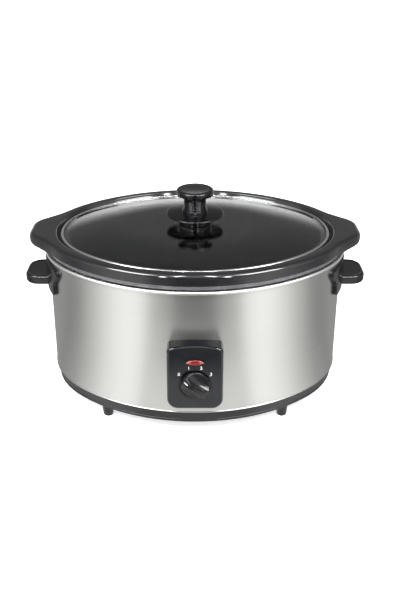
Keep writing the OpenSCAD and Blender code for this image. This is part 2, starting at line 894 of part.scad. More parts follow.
// Round dial with a scooped grip rib across it and a socket behind for nut and shaft
module control_dial() {
    radius = dial_diameter / 2;
    base = lift_gap - recess_depth;
    rib_half = 2;
    scoop = radius - rib_half / 2;
    crown_drop = 5;
    crown = (radius * radius + crown_drop * crown_drop) / (2 * crown_drop);
    nut_room = bush_top + lift_gap;
    color(BLACK) on_panel(dial_level) rotate([0, 0, dial_angle]) difference() {
        intersection() {
            translate([0, 0, base]) cylinder(h = dial_height - base, r = radius);
            translate([0, 0, dial_height - crown]) sphere(crown);
        }
        for (side = [-1, 1]) {
            translate([0, side * (rib_half + scoop), dial_plate + scoop]) rotate([0, 90, 0])
                cylinder(h = CLEAR, r = scoop, center = true);
        }
        translate([0, 0, base - 1]) cylinder(h = 1 - base + nut_room, r = nut_radius + lift_gap);
        translate([0, 0, base]) cylinder(h = dial_socket - base, r = shaft_radius + shaft_gap);
    }
}

// Section of the crock: wall, rim, gallery for the lid and rounded bowl
module crock_section() {
    edge = 2.5;
    polygon(concat(
        [[crock_top_out, rim_under]],
        arc([rim_reach - rim_edge, rim_under + rim_edge], rim_edge, -90, 0, 3),
        arc([rim_reach - rim_round, rim_top - rim_round], rim_round, 0, 90),
        [[gallery_mouth + rim_edge, rim_top], [gallery_mouth, rim_top - rim_edge / 2]],
        [[gallery_side, gallery_floor]],
        arc([crock_top_in + edge, gallery_floor - edge], edge, 90, 180, 4),
        arc([crock_foot_in - bowl_corner, bowl_floor + bowl_corner], bowl_corner, 0, -90, 8),
        [[bowl_flat, bowl_floor], [bowl_flat, crock_bottom]],
        arc([crock_foot_out - crock_corner, crock_bottom + crock_corner], crock_corner, -90, 0, 8)
    ));
}

// Plan of a lug, drawn in from its outline: a straight tip, round corners and sides at 45 degrees
module lug_plan(inset) {
    tip = half_length + lug_reach;
    corner = [tip - lug_corner, lug_tip];
    radius = lug_corner - inset;
    reach = half_width / 2;
    root = [corner[0] - reach, corner[1] + reach];
    shift = radius / sqrt(2);
    polygon(concat(
        [[root[0] + shift, -root[1] - shift]],
        arc([corner[0], -corner[1]], radius, -45, 0),
        arc(corner, radius, 0, 45),
        [[root[0] + shift, root[1] + shift]]
    ));
}

// Lug with rounded edges, level with the rim
module lug() {
    round_under = 7;
    round_over = 4;
    slice = 0.01;
    difference() {
        hull() {
            for (turn = [0:22.5:90]) {
                translate([0, 0, lug_bottom + round_under * (1 - sin(turn))])
                    linear_extrude(slice) lug_plan(round_under * (1 - cos(turn)));
                translate([0, 0, rim_top - slice - round_over * (1 - sin(turn))])
                    linear_extrude(slice) lug_plan(round_over * (1 - cos(turn)));
            }
        }
        translate([0, 0, lug_bottom - 1]) linear_extrude(rim_height + 2) oval(gallery_mouth / 2);
    }
}

// Glazed stoneware bowl with a rim, a gallery for the lid and a lug at each end
module crock() {
    color(GLAZE) union() {
        oval_sweep() crock_section();
        translate([0, 0, crock_bottom]) linear_extrude(crock_floor) oval(bowl_flat + 2);
        lug();
        mirror([1, 0, 0]) lug();
    }
}

// Shallow dome with a level border and a level centre
module lid_glass() {
    top_centre = [dome_end, glass_top - dome_radius];
    edge_turn = asin(dome_run / dome_radius);
    plate_end = dome_end - 2;
    color(GLASS) difference() {
        union() {
            oval_sweep() polygon(concat(
                [[glass_edge, glass_under], [glass_edge, glass_border]],
                arc(top_centre, dome_radius, 90 - edge_turn, 90, 10),
                [[plate_end, glass_top], [plate_end, glass_top - glass_thickness]],
                arc(top_centre - [0, glass_thickness], dome_radius, 90, 90 - edge_turn, 10)
            ));
            translate([0, 0, glass_top - glass_thickness])
                linear_extrude(glass_thickness) oval(plate_end + 1);
        }
        translate([0, 0, glass_top - 2 * glass_thickness])
            cylinder(h = 3 * glass_thickness, r = screw_radius + glass_hole_gap);
    }
}

// Steel channel folded over the edge of the glass
module lid_rim() {
    outside = -lid_inset;
    web = outside - rim_sheet;
    inside = outside - rim_cover;
    top = glass_border + rim_sheet + seat_gap;
    lower_lip = glass_under - seat_gap;
    edge = 1.2;
    color(BRIGHT) oval_sweep() polygon(concat(
        [[inside, lid_bottom]],
        arc([outside - edge, lid_bottom + edge], edge, -90, 0, 4),
        arc([outside - edge, top - edge], edge, 0, 90, 4),
        [[inside, top], [inside, top - rim_sheet], [web, top - rim_sheet]],
        [[web, lower_lip], [inside, lower_lip]]
    ));
}

// Collar and heat guard in one moulding
module knob_guard() {
    collar = collar_diameter / 2;
    radius = guard_diameter / 2;
    fillet = 3;
    edge = guard_edge / 2;
    hole = screw_radius + screw_gap;
    color(BLACK) rotate_extrude() polygon(concat(
        [[hole, glass_top], [collar, glass_top]],
        arc([collar + fillet, guard_under - fillet], fillet, 180, 90, 4),
        arc([radius - edge, guard_under + edge], edge, -90, 90),
        [[(neck_diameter + guard_edge) / 2, guard_top], [hole, guard_top]]
    ));
}

// Neck and round top, with a recess for the cap and a blind hole for the screw
module knob_grip() {
    neck = neck_diameter / 2;
    radius = knob_diameter / 2;
    edge = 2.4;
    flare = radius - neck - edge + seat_gap;
    cap_room = cap_diameter / 2 + seat_gap;
    hole = screw_radius + screw_gap;
    blind = knob_screw_top + 2 * tip_space;
    color(BLACK) rotate_extrude() polygon(concat(
        [[hole, guard_top], [neck + guard_edge / 2, guard_top], [neck, guard_top + guard_edge]],
        arc([neck + flare, neck_top - flare / 2], flare, 180, 105, 5),
        arc([radius - edge, neck_top + edge], edge, -80, 0, 4),
        arc([radius - edge, knob_top - edge], edge, 0, 90, 5),
        [[cap_room, knob_top], [cap_room, knob_top - cap_thickness], [0, knob_top - cap_thickness]],
        [[0, blind], [hole, blind]]
    ));
}

module knob_cap() {
    edge = 0.5;
    radius = cap_diameter / 2;
    color(BLACK) translate([0, 0, knob_top - cap_thickness]) rotate_extrude() polygon([
        [0, 0], [radius, 0], [radius, cap_thickness - edge],
        [radius - edge, cap_thickness], [0, cap_thickness]
    ]);
}

module knob_washer() {
    color(BLACK) translate([0, 0, washer_under]) difference() {
        cylinder(h = knob_washer_thickness, r = collar_diameter / 2 - knob_washer_step);
        translate([0, 0, -1]) cylinder(h = knob_washer_thickness + 2, r = screw_radius + screw_gap);
    }
}

module knob_screw() {
    head = 2.4;
    color(BRIGHT) translate([0, 0, washer_under - head]) {
        cylinder(h = head, r = 1.8 * screw_radius);
        cylinder(h = knob_screw_top - washer_under + head, r = screw_radius);
    }
}

stand() outer_shell();
stand() heating_liner();
stand() heater_band();
stand() band_bolt();
stand() thermal_fuse();
stand() fuse_clip();
stand() terminal_block();
stand() base_tray();
stand() foot_front_left();
stand() foot_front_right();
stand() foot_rear_left();
stand() foot_rear_right();
stand() foot_screws();
stand() base_stud();
stand() base_washer();
stand() base_nut();
stand() cord_gland();
stand() handle_left();
stand() handle_right();
stand() handle_screws();
stand() control_panel();
stand() indicator_lens();
stand() indicator_lamp();
stand() switch_body();
stand() switch_nut();
stand() control_dial();
stand() switch_shaft();
stand() crock();
stand() lid_glass();
stand() lid_rim();
stand() knob_guard();
stand() knob_grip();
stand() knob_cap();
stand() knob_washer();
stand() knob_screw();
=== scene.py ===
"""Looks of an oval countertop cooker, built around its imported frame."""
import logging
import math
from dataclasses import dataclass, field
from enum import Enum
from typing import Callable, Iterable, Sequence

import bmesh
import bpy
from mathutils import Matrix, Vector


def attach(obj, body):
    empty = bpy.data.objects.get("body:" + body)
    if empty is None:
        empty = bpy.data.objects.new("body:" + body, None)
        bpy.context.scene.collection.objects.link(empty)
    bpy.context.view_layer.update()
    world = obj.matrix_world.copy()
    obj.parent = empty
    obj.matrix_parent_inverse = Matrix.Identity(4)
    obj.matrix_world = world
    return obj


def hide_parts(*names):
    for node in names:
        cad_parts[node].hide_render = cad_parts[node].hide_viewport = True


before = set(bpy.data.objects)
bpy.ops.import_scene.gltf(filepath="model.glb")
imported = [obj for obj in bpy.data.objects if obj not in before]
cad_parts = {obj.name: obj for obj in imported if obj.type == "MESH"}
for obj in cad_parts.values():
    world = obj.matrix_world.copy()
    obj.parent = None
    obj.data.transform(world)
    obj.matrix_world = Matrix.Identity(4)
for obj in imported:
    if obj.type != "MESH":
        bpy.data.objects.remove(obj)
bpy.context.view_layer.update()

LOG = logging.getLogger("cooker")
MM = 0.001

Point = tuple[float, float]
Colour = tuple[float, float, float]
Place = tuple[float, float, float]
Material = bpy.types.Material
Mesh = bmesh.types.BMesh
Edge = bmesh.types.BMEdge
Socket = bpy.types.NodeSocket


class Body(Enum):
    """Rigid bodies of the frame that a piece can move with."""

    BASE = "base"
    SELECTOR = "selector"
    CROCK = "crock"
    LID = "lid"


class Slot(Enum):
    """Material slots of the record; no piece drawn here uses them."""

    SHELL = "shell_steel"
    LINER = "liner_metal"
    RIM = "rim_steel"
    MOULDING = "black_moulding"
    HANDLE = "handle_black"
    GLOSS = "gloss_black"
    LENS = "red_lens"
    STONEWARE = "stoneware"
    GLASS = "lid_glass"


def arc(centre: Point, radius: float, start: float, end: float, steps: int = 6) -> list[Point]:
    """Points along an arc.

    Args:
        centre: centre of the circle, in mm.
        radius: radius, in mm.
        start: first angle, in degrees.
        end: last angle, in degrees.
        steps: number of chords.

    Returns:
        The points in order, both ends included.
    """
    points = []
    for i in range(steps + 1):
        turn = math.radians(start + (end - start) * i / steps)
        points.append((centre[0] + radius * math.cos(turn), centre[1] + radius * math.sin(turn)))
    return points


def smoothstep(low: float, high: float, value: float) -> float:
    """Eased share from 0 at low to 1 at high.

    Args:
        low: value where the share is 0.
        high: value where the share is 1.
        value: value to look up.

    Returns:
        The share, between 0 and 1.
    """
    share = min(1.0, max(0.0, (value - low) / (high - low)))
    return share * share * (3.0 - 2.0 * share)


# Finishes


class Graph:
    """A node tree under construction."""

    def __init__(self, tree: bpy.types.NodeTree) -> None:
        """Takes hold of a tree.

        Args:
            tree: node tree to add to.
        """
        self.tree = tree

    def node(self, kind: str, **values: object) -> bpy.types.Node:
        """Adds a node.

        Args:
            kind: type of the node.
            values: attributes of the node, or sockets named with a leading in_.

        Returns:
            The new node.
        """
        made = self.tree.nodes.new(kind)
        for name, value in values.items():
            if name.startswith("in_"):
                self.put(value, made.inputs[name[3:].replace("_", " ")])
            else:
                setattr(made, name, value)
        return made

    def link(self, source: Socket, target: Socket) -> None:
        """Joins two sockets."""
        self.tree.links.new(source, target)

    def put(self, value: object, target: Socket) -> None:
        """Links a socket to another, or sets it to a value."""
        if isinstance(value, bpy.types.NodeSocket):
            self.link(value, target)
        else:
            target.default_value = value

    def math(self, operation: str, *values: object) -> Socket:
        """Adds a step of arithmetic.

        Args:
            operation: name of the operation.
            values: sockets or numbers.

        Returns:
            The result.
        """
        made = self.node("ShaderNodeMath", operation=operation)
        for socket, value in zip(made.inputs, values):
            self.put(value, socket)
        return made.outputs["Value"]

    def split(self, vector: Socket) -> bpy.types.Node:
        """Takes a vector apart."""
        return self.node("ShaderNodeSeparateXYZ", in_Vector=vector)

    def length(self, vector: Socket) -> Socket:
        """Length of a vector."""
        made = self.node("ShaderNodeVectorMath", operation="LENGTH")
        self.link(vector, made.inputs[0])
        return made.outputs["Value"]

    def step(self, value: Socket, reach: Point, low: object, high: object) -> Socket:
        """Eases from one level to another.

        Args:
            value: what decides.
            reach: values where the change starts and ends.
            low: level before it.
            high: level after it.

        Returns:
            The level.
        """
        made = self.node(
            "ShaderNodeMapRange", interpolation_type="SMOOTHSTEP", in_Value=value,
            in_From_Min=reach[0], in_From_Max=reach[1], in_To_Min=low, in_To_Max=high,
        )
        return made.outputs["Result"]

    def levels(self, factor: Socket, stops: Sequence[Point]) -> Socket:
        """Looks a factor up in a list of levels.

        Args:
            factor: the factor, from 0 to the last stop's place.
            stops: places and levels.

        Returns:
            The level.
        """
        last = stops[-1][0]
        top = max(level for _, level in stops)
        curve = self.node("ShaderNodeFloatCurve", in_Value=self.math("DIVIDE", factor, last))
        points = curve.mapping.curves[0].points
        while len(points) < len(stops):
            points.new(0.5, 0.5)
        for point, (place, level) in zip(points, stops):
            point.location = (place / last, level / top)
            point.handle_type = "AUTO_CLAMPED"
        curve.mapping.update()
        return self.math("MULTIPLY", curve.outputs["Value"], top)


class Recipe(Graph):
    """A node material under construction."""

    def __init__(self, name: str) -> None:
        """Starts from a lone Principled shader.

        Args:
            name: name of the material.
        """
        self.material = bpy.data.materials.new(name)
        self.material.use_nodes = True
        super().__init__(self.material.node_tree)
        self.shader = self.tree.nodes["Principled BSDF"]

    def set(self, **values: object) -> "Recipe":
        """Sets the shader's own sockets.

        Args:
            values: socket names, with _ for a space, and their values.

        Returns:
            The recipe itself.
        """
        for name, value in values.items():
            socket = self.shader.inputs[name.replace("_", " ")]
            socket.default_value = (*value, 1.0) if isinstance(value, tuple) and len(value) == 3 else value
        return self

    def coordinates(self, scale: Place) -> Socket:
        """Object coordinates, stretched.

        Args:
            scale: stretch along each axis, per metre.

        Returns:
            The vector socket.
        """
        place = self.node("ShaderNodeTexCoord").outputs["Object"]
        return self.node("ShaderNodeMapping", in_Vector=place, in_Scale=scale).outputs["Vector"]

    def noise(
        self, scale: Place, detail: float = 3.0, roughness: float = 0.5
    ) -> Socket:
        """Noise over the object.

        Args:
            scale: grains per metre along each axis.
            detail: octaves.
            roughness: weight of the finer octaves.

        Returns:
            The factor socket.
        """
        place = self.coordinates(scale)
        made = self.node(
            "ShaderNodeTexNoise", in_Vector=place, in_Scale=1.0, in_Detail=detail, in_Roughness=roughness
        )
        return made.outputs["Fac"]

    def between(
        self, factor: Socket, low: float, high: float, start: float = 0.3, end: float = 0.7
    ) -> Socket:
        """Maps a factor to a range of values.

        Args:
            factor: socket to map.
            low: value at start.
            high: value at end.
            start: factor that gives low.
            end: factor that gives high.

        Returns:
            The mapped socket.
        """
        made = self.node(
            "ShaderNodeMapRange", in_Value=factor, in_From_Min=start, in_From_Max=end,
            in_To_Min=low, in_To_Max=high,
        )
        return made.outputs["Result"]

    def shade(self, factor: Socket, first: Colour, second: Colour) -> Socket:
        """Mixes two colours by a factor.

        Args:
            factor: share of the second colour.
            first: colour at 0.
            second: colour at 1.

        Returns:
            The colour socket.
        """
        ramp = self.node("ShaderNodeValToRGB", in_Fac=factor)
        for stop, place, colour in zip(ramp.color_ramp.elements, (0.3, 0.7), (first, second)):
            stop.position = place
            stop.color = (*colour, 1.0)
        return ramp.outputs["Color"]

    def bump(self, height: Socket, strength: float, distance: float) -> None:
        """Raises the surface by a height socket.

        Args:
            height: height, 0 to 1.
            strength: share of the effect.
            distance: height of a value of 1, in metres.
        """
        made = self.node("ShaderNodeBump", in_Height=height, in_Strength=strength, in_Distance=distance)
        self.feed("Normal", made.outputs["Normal"])

    def feed(self, socket: str, source: Socket) -> None:
        """Drives one of the shader's sockets."""
        self.link(source, self.shader.inputs[socket])


def tinted(colour: Colour, factor: float) -> Colour:
    """A colour made lighter or darker."""
    return (colour[0] * factor, colour[1] * factor, colour[2] * factor)


@dataclass(frozen=True)
class BrushedSheet:
    """Stainless sheet with fine lines along its length."""

    name: str
    colour: Colour
    roughness: float
    anisotropy: float
    lines_per_metre: float = 2600.0
    unevenness: float = 0.015

    def make(self) -> Material:
        """Builds the material.

        Returns:
            A metal whose lines run along the UV map's first direction, so that its shine
            spreads across them.
        """
        recipe = Recipe(self.name).set(Metallic=1.0, Anisotropic=self.anisotropy, Anisotropic_Rotation=0.25)
        lines = recipe.noise((5.0, 5.0, self.lines_per_metre), 4.0, 0.65)
        clouds = recipe.noise((9.0, 9.0, 16.0), 3.0)
        recipe.feed("Base Color", recipe.shade(lines, tinted(self.colour, 0.975), tinted(self.colour, 1.02)))
        fine = recipe.between(lines, -self.unevenness, self.unevenness)
        broad = recipe.between(clouds, self.roughness - self.unevenness, self.roughness + self.unevenness)
        recipe.feed("Roughness", recipe.math("ADD", fine, broad))
        tangent = recipe.node("ShaderNodeTangent", direction_type="UV_MAP", uv_map="Wrap")
        recipe.feed("Tangent", tangent.outputs["Tangent"])
        recipe.bump(lines, 0.012, 0.0001)
        return recipe.material


@dataclass(frozen=True)
class PlatedMetal:
    """Bright metal with faint handling marks."""

    name: str
    colour: Colour
    roughness: float

    def make(self) -> Material:
        """Builds the material."""
        recipe = Recipe(self.name).set(Metallic=1.0)
        marks = recipe.noise((260.0, 260.0, 260.0), 4.0, 0.6)
        recipe.feed("Base Color", recipe.shade(marks, tinted(self.colour, 0.94), self.colour))
        recipe.feed("Roughness", recipe.between(marks, self.roughness * 0.8, self.roughness * 1.3))
        return recipe.material


@dataclass(frozen=True)
class MouldedPlastic:
    """Moulded plastic with a fine grain and uneven gloss."""

    name: str
    colour: Colour
    roughness: float
    grain: float = 0.02
    grain_per_metre: float = 2200.0
    coat: float = 0.0
    specular: float = 0.5

    def make(self) -> Material:
        """Builds the material."""
        recipe = Recipe(self.name).set(IOR=1.5, Coat_Weight=self.coat, Coat_Roughness=0.05)
        recipe.set(Specular_IOR_Level=self.specular)
        grain = recipe.noise((self.grain_per_metre,) * 3, 2.0)
        flow = recipe.noise((28.0, 28.0, 28.0), 4.0, 0.6)
        recipe.feed("Base Color", recipe.shade(flow, tinted(self.colour, 0.85), tinted(self.colour, 1.15)))
        recipe.feed("Roughness", recipe.between(flow, self.roughness * 0.88, self.roughness * 1.15))
        recipe.bump(grain, self.grain, 0.0002)
        return recipe.material


@dataclass(frozen=True)
class GlazedStoneware:
    """Dark glaze over stoneware, with a soft mottle and slight waves."""

    name: str
    colour: Colour
    roughness: float

    def make(self) -> Material:
        """Builds the material."""
        recipe = Recipe(self.name).set(IOR=1.55, Coat_Weight=0.4, Coat_Roughness=0.04, Coat_IOR=1.5)
        mottle = recipe.noise((70.0, 70.0, 70.0), 6.0, 0.65)
        waves = recipe.noise((34.0, 34.0, 34.0), 2.0)
        recipe.feed("Base Color", recipe.shade(mottle, tinted(self.colour, 0.8), tinted(self.colour, 1.25)))
        recipe.feed("Roughness", recipe.between(mottle, self.roughness * 0.85, self.roughness * 1.2))
        recipe.bump(waves, 0.08, 0.001)
        return recipe.material


@dataclass(frozen=True)
class ClearGlass:
    """Clear glass with a trace of green."""

    name: str
    colour: Colour
    roughness: float = 0.0

    def make(self) -> Material:
        """Builds the material."""
        recipe = Recipe(self.name).set(Transmission_Weight=1.0, IOR=1.48, Roughness=self.roughness)
        ripple = recipe.noise((14.0, 14.0, 14.0), 1.0)
        recipe.feed("Base Color", recipe.shade(ripple, self.colour, tinted(self.colour, 1.01)))
        recipe.bump(ripple, 0.02, 0.001)
        return recipe.material


@dataclass(frozen=True)
class TintedLens:
    """Red window that glows paler towards its thin ends."""

    name: str
    colour: Colour
    pale: Colour
    half_length: float

    def make(self) -> Material:
        """Builds the material."""
        recipe = Recipe(self.name).set(IOR=1.49, Coat_Weight=0.5, Coat_Roughness=0.04)
        split = recipe.split(recipe.node("ShaderNodeTexCoord").outputs["Object"])
        away = recipe.math("ABSOLUTE", split.outputs["X"])
        share = recipe.between(away, 0.0, 1.0, self.half_length * 0.35, self.half_length)
        ribs = recipe.noise((700.0, 90.0, 90.0), 2.0)
        mix = recipe.node("ShaderNodeMix", data_type="RGBA")
        recipe.link(share, mix.inputs["Factor"])
        recipe.link(recipe.shade(ribs, tinted(self.colour, 0.85), tinted(self.colour, 1.15)), mix.inputs[6])
        mix.inputs[7].default_value = (*self.pale, 1.0)
        recipe.feed("Base Color", mix.outputs[2])
        recipe.feed("Roughness", recipe.between(ribs, 0.16, 0.24))
        return recipe.material


@dataclass(frozen=True)
class Mineral:
    """Unglazed mineral sheet or ceramic with specks."""

    name: str
    colour: Colour
    speck: Colour
    roughness: float

    def make(self) -> Material:
        """Builds the material."""
        recipe = Recipe(self.name)
        specks = recipe.noise((900.0, 900.0, 900.0), 5.0, 0.7)
        recipe.feed("Base Color", recipe.shade(specks, self.speck, self.colour))
        recipe.feed("Roughness", recipe.between(specks, self.roughness * 0.9, self.roughness * 1.1))
        recipe.bump(specks, 0.1, 0.0002)
        return recipe.material


Finish = BrushedSheet | PlatedMetal | MouldedPlastic | GlazedStoneware | ClearGlass | TintedLens | Mineral


def mixed(finish: Finish) -> Material:
    """Entry of the palette, whose material is made with the palette.

    Args:
        finish: what to make.

    Returns:
        The field that a dataclass fills.
    """
    return field(default_factory=finish.make)


@dataclass
class Palette:
    """All finishes of the cooker, made once."""

    shell: Material = mixed(BrushedSheet("brushed_wall", (0.715, 0.715, 0.69), 0.30, 0.75))
    bright: Material = mixed(BrushedSheet("bright_rim", (0.88, 0.88, 0.87), 0.20, 0.4, 900.0))
    rolled: Material = mixed(BrushedSheet("rolled_bead", (0.90, 0.90, 0.88), 0.36, 0.0, 900.0))
    liner: Material = mixed(PlatedMetal("liner_sheet", (0.78, 0.78, 0.78), 0.28))
    plated: Material = mixed(PlatedMetal("plated_fixing", (0.70, 0.70, 0.71), 0.25))
    satin: Material = mixed(MouldedPlastic("satin_black", (0.008, 0.008, 0.009), 0.30, 0.04))
    handle: Material = mixed(MouldedPlastic("handle_black", (0.007, 0.0072, 0.0085), 0.18, 0.02))
    gloss: Material = mixed(MouldedPlastic("gloss_black", (0.004, 0.004, 0.005), 0.09, 0.005, 900.0, 0.15))
    # painted shade: a darker, less shiny copy of the gloss black for the guard disc's level top
    disc: Material = mixed(
        MouldedPlastic("disc_painted_shade", (0.003, 0.003, 0.0035), 0.09, 0.005, 900.0, 0.0, 0.2)
    )
    panel: Material = mixed(MouldedPlastic("panel_black", (0.0085, 0.009, 0.0105), 0.11, 0.010, 1500.0, 0.2))
    # painted shade: a darker, less shiny copy of the panel's finish for its top faces
    roof: Material = mixed(
        MouldedPlastic("panel_painted_shade", (0.004, 0.0043, 0.005), 0.22, 0.010, 1500.0, 0.0, 0.05)
    )
    dial: Material = mixed(MouldedPlastic("dial_black", (0.009, 0.009, 0.010), 0.13, 0.010, 1500.0))
    # painted bounce light: a ten times lighter copy of the glaze for the band under the rim
    thin_glaze: Material = mixed(GlazedStoneware("thin_glaze", (0.090, 0.089, 0.094), 0.25))
    stoneware: Material = mixed(GlazedStoneware("charcoal_glaze", (0.009, 0.009, 0.010), 0.10))
    glass: Material = mixed(ClearGlass("lid_glass", (0.97, 0.985, 0.98)))
    lens: Material = mixed(TintedLens("red_window", (0.15, 0.008, 0.007), (0.36, 0.10, 0.08), 0.0095))
    lamp: Material = mixed(ClearGlass("lamp_bulb", (0.95, 0.80, 0.65), 0.05))
    # pale paint for the printed numerals and for the painted highlight on the dial's rib
    ink: Material = mixed(Mineral("pale_print_and_painted_highlight", (0.78, 0.78, 0.76), (0.66, 0.66, 0.64), 0.5))
    mica: Material = mixed(Mineral("mica_sheet", (0.55, 0.47, 0.33), (0.42, 0.34, 0.22), 0.6))
    ceramic: Material = mixed(Mineral("ceramic_white", (0.80, 0.78, 0.72), (0.70, 0.67, 0.60), 0.5))
    rubber: Material = mixed(MouldedPlastic("gland_rubber", (0.02, 0.02, 0.02), 0.6, 0.12))


# Shared geometry


def face_out(bm: Mesh) -> None:
    """Turns the faces outwards."""
    bmesh.ops.recalc_face_normals(bm, faces=bm.faces[:])


def verts_in(items: Iterable[object]) -> list[bmesh.types.BMVert]:
    """The points among the parts of a mesh."""
    return [item for item in items if isinstance(item, bmesh.types.BMVert)]


def open_edges(bm: Mesh) -> list[Edge]:
    """The edges with a face on one side only."""
    return [edge for edge in bm.edges if edge.is_boundary]


def close_holes(bm: Mesh) -> None:
    """Fills every open loop with one face."""
    edges = open_edges(bm)
    if edges:
        bmesh.ops.holes_fill(bm, edges=edges, sides=0)


def tidy(bm: Mesh, merge: float = 1e-6) -> None:
    """Merges doubles and turns the faces outwards.

    Args:
        bm: mesh to tidy.
        merge: distance under which points merge, in metres.
    """
    bmesh.ops.remove_doubles(bm, verts=bm.verts[:], dist=merge)
    face_out(bm)


@dataclass(frozen=True)
class Span:
    """One arc of the oval."""

    centre: Point
    turn: float
    steps: int


@dataclass(frozen=True)
class Oval:
    """The four-centre oval that every wall of the cooker follows, in mm."""

    half_length: float = 170.5
    half_width: float = 136.0
    end_radius: float = 113.0
    centre_y: float = 12.5
    end_steps: int = 72
    side_steps: int = 72

    @property
    def end_centre(self) -> float:
        """Distance of an end curve's centre from the middle."""
        return self.half_length - self.end_radius

    @property
    def side_drop(self) -> float:
        """Distance of a side curve's centre from the middle."""
        sag = self.half_width - self.end_radius
        return (self.end_centre**2 - sag**2) / (2.0 * sag)

    @property
    def side_radius(self) -> float:
        """Radius of the side curves."""
        return self.half_width + self.side_drop

    @property
    def end_angle(self) -> float:
        """Half the angle of an end curve, in radians."""
        return math.atan2(self.side_drop, self.end_centre)

    def spans(self) -> list[Span]:
        """The arcs in order, from the middle of the back and anticlockwise from above."""
        half_side = Span((0.0, -self.side_drop), math.pi / 2.0 - self.end_angle, self.side_steps // 2)
        return [
            half_side,
            Span((-self.end_centre, 0.0), 2.0 * self.end_angle, self.end_steps),
            Span((0.0, self.side_drop), math.pi - 2.0 * self.end_angle, self.side_steps),
            Span((self.end_centre, 0.0), 2.0 * self.end_angle, self.end_steps),
            half_side,
        ]

    def sweep(
        self, bm: Mesh, section: Sequence[Point], closed: bool, shares: Sequence[float] = ()
    ) -> None:
        """Spins a section of offsets and heights all round the oval, from the middle of the back.

        Args:
            bm: mesh to add to.
            section: offsets from the oval and heights, in mm.
            closed: whether the section's last point joins its first.
            shares: a value for each point, kept in the layer named share.
        """
        layer = bm.verts.layers.float.new("share")
        back = self.centre_y + self.half_width
        first = [bm.verts.new((0.0, (back + across) * MM, up * MM)) for across, up in section]
        for vert, share in zip(first, shares):
            vert[layer] = share
        pairs = list(zip(first, first[1:]))
        if closed:
            pairs.append((first[-1], first[0]))
        ring: list = first + [bm.edges.new(pair) for pair in pairs]
        for span in self.spans():
            made = bmesh.ops.spin(
                bm,
                geom=ring,
                cent=(span.centre[0] * MM, (self.centre_y + span.centre[1]) * MM, 0.0),
                axis=(0.0, 0.0, 1.0),
                angle=span.turn,
                steps=span.steps,
                use_duplicate=False,
            )
            ring = made["geom_last"]

    def swept(self, section: Sequence[Point], closed: bool, wrapped: bool = False) -> Mesh:
        """A wall of one section all round the oval.

        Args:
            section: offsets from the oval and heights, in mm.
            closed: whether the section's last point joins its first, or its two ends are filled across.
            wrapped: whether it gets a UV map.

        Returns:
            The closed mesh.
        """
        bm = bmesh.new()
        self.sweep(bm, section, closed)
        tidy(bm)
        if not closed:
            close_holes(bm)
        if wrapped:
            self.wrap(bm)
        return bm

    def along(self, x: float, y: float) -> float:
        """Distance round the oval at which a point lies.

        Args:
            x: place across, in mm.
            y: place towards the back, in mm, from the oval's middle.

        Returns:
            The length of the wall from the middle of the back, anticlockwise, in mm.
        """
        start = math.pi / 2.0
        length = 0.0
        radii = [self.side_radius, self.end_radius] * 2 + [self.side_radius]
        for span, radius in zip(self.spans(), radii):
            turn = (math.atan2(y - span.centre[1], x - span.centre[0]) - start) % (2.0 * math.pi)
            if turn > 2.0 * math.pi - 1e-6:
                turn = 0.0
            if turn <= span.turn + 1e-6:
                return length + turn * radius
            start += span.turn
            length += span.turn * radius
        return length

    def perimeter(self) -> float:
        """Length of the steel wall all round, in mm."""
        return 2.0 * (
            self.side_radius * (math.pi - 2.0 * self.end_angle) + self.end_radius * 2.0 * self.end_angle
        )

    def wrap(self, bm: Mesh) -> None:
        """Lays a UV map whose first direction runs round the oval.

        Args:
            bm: mesh to map.
        """
        layer = bm.loops.layers.uv.new("Wrap")
        round_length = self.perimeter()
        for face in bm.faces:
            places = []
            for loop in face.loops:
                place = loop.vert.co
                places.append(self.along(place.x / MM, place.y / MM - self.centre_y))
            widest = max(places)
            for loop, place in zip(face.loops, places):
                if widest - place > round_length / 2.0:
                    place += round_length
                loop[layer].uv = (place * MM, loop.vert.co.z)


OVAL = Oval()


def spun(section: Sequence[Point], centre: Point, steps: int = 96) -> Mesh:
    """A turned shape about an upright axis.

    Args:
        section: radii and heights, in mm.
        centre: place of the axis, in mm.
        steps: number of steps in the turn.

    Returns:
        The closed mesh.
    """
    bm = bmesh.new()
    verts = [bm.verts.new(((centre[0] + radius) * MM, centre[1] * MM, up * MM)) for radius, up in section]
    edges = [bm.edges.new(pair) for pair in zip(verts, verts[1:])]
    bmesh.ops.spin(
        bm,
        geom=verts + edges,
        cent=(centre[0] * MM, centre[1] * MM, 0.0),
        axis=(0.0, 0.0, 1.0),
        angle=2.0 * math.pi,
        steps=steps,
        use_merge=True,
        use_duplicate=False,
    )
    tidy(bm)
    close_holes(bm)
    return bm


def weigh_normals(mesh: bpy.types.Mesh, reach: float = 45.0) -> None:
    """Lets large faces keep their own direction beside rounded edges.

    Args:
        mesh: mesh to treat.
        reach: largest angle between faces that share a normal, in degrees.
    """
    around: list[list[bpy.types.MeshPolygon]] = [[] for _ in mesh.vertices]
    for face in mesh.polygons:
        for corner in face.vertices:
            around[corner].append(face)
    limit = math.cos(math.radians(reach))
    normals: list[Vector] = [Vector()] * len(mesh.loops)
    for face in mesh.polygons:
        for index in face.loop_indices:
            total = Vector()
            for other in around[mesh.loops[index].vertex_index]:
                if other.normal.dot(face.normal) > limit:
                    total += other.normal * other.area
            normals[index] = total.normalized() if total.length > 0.0 else face.normal
    mesh.normals_split_custom_set(normals)


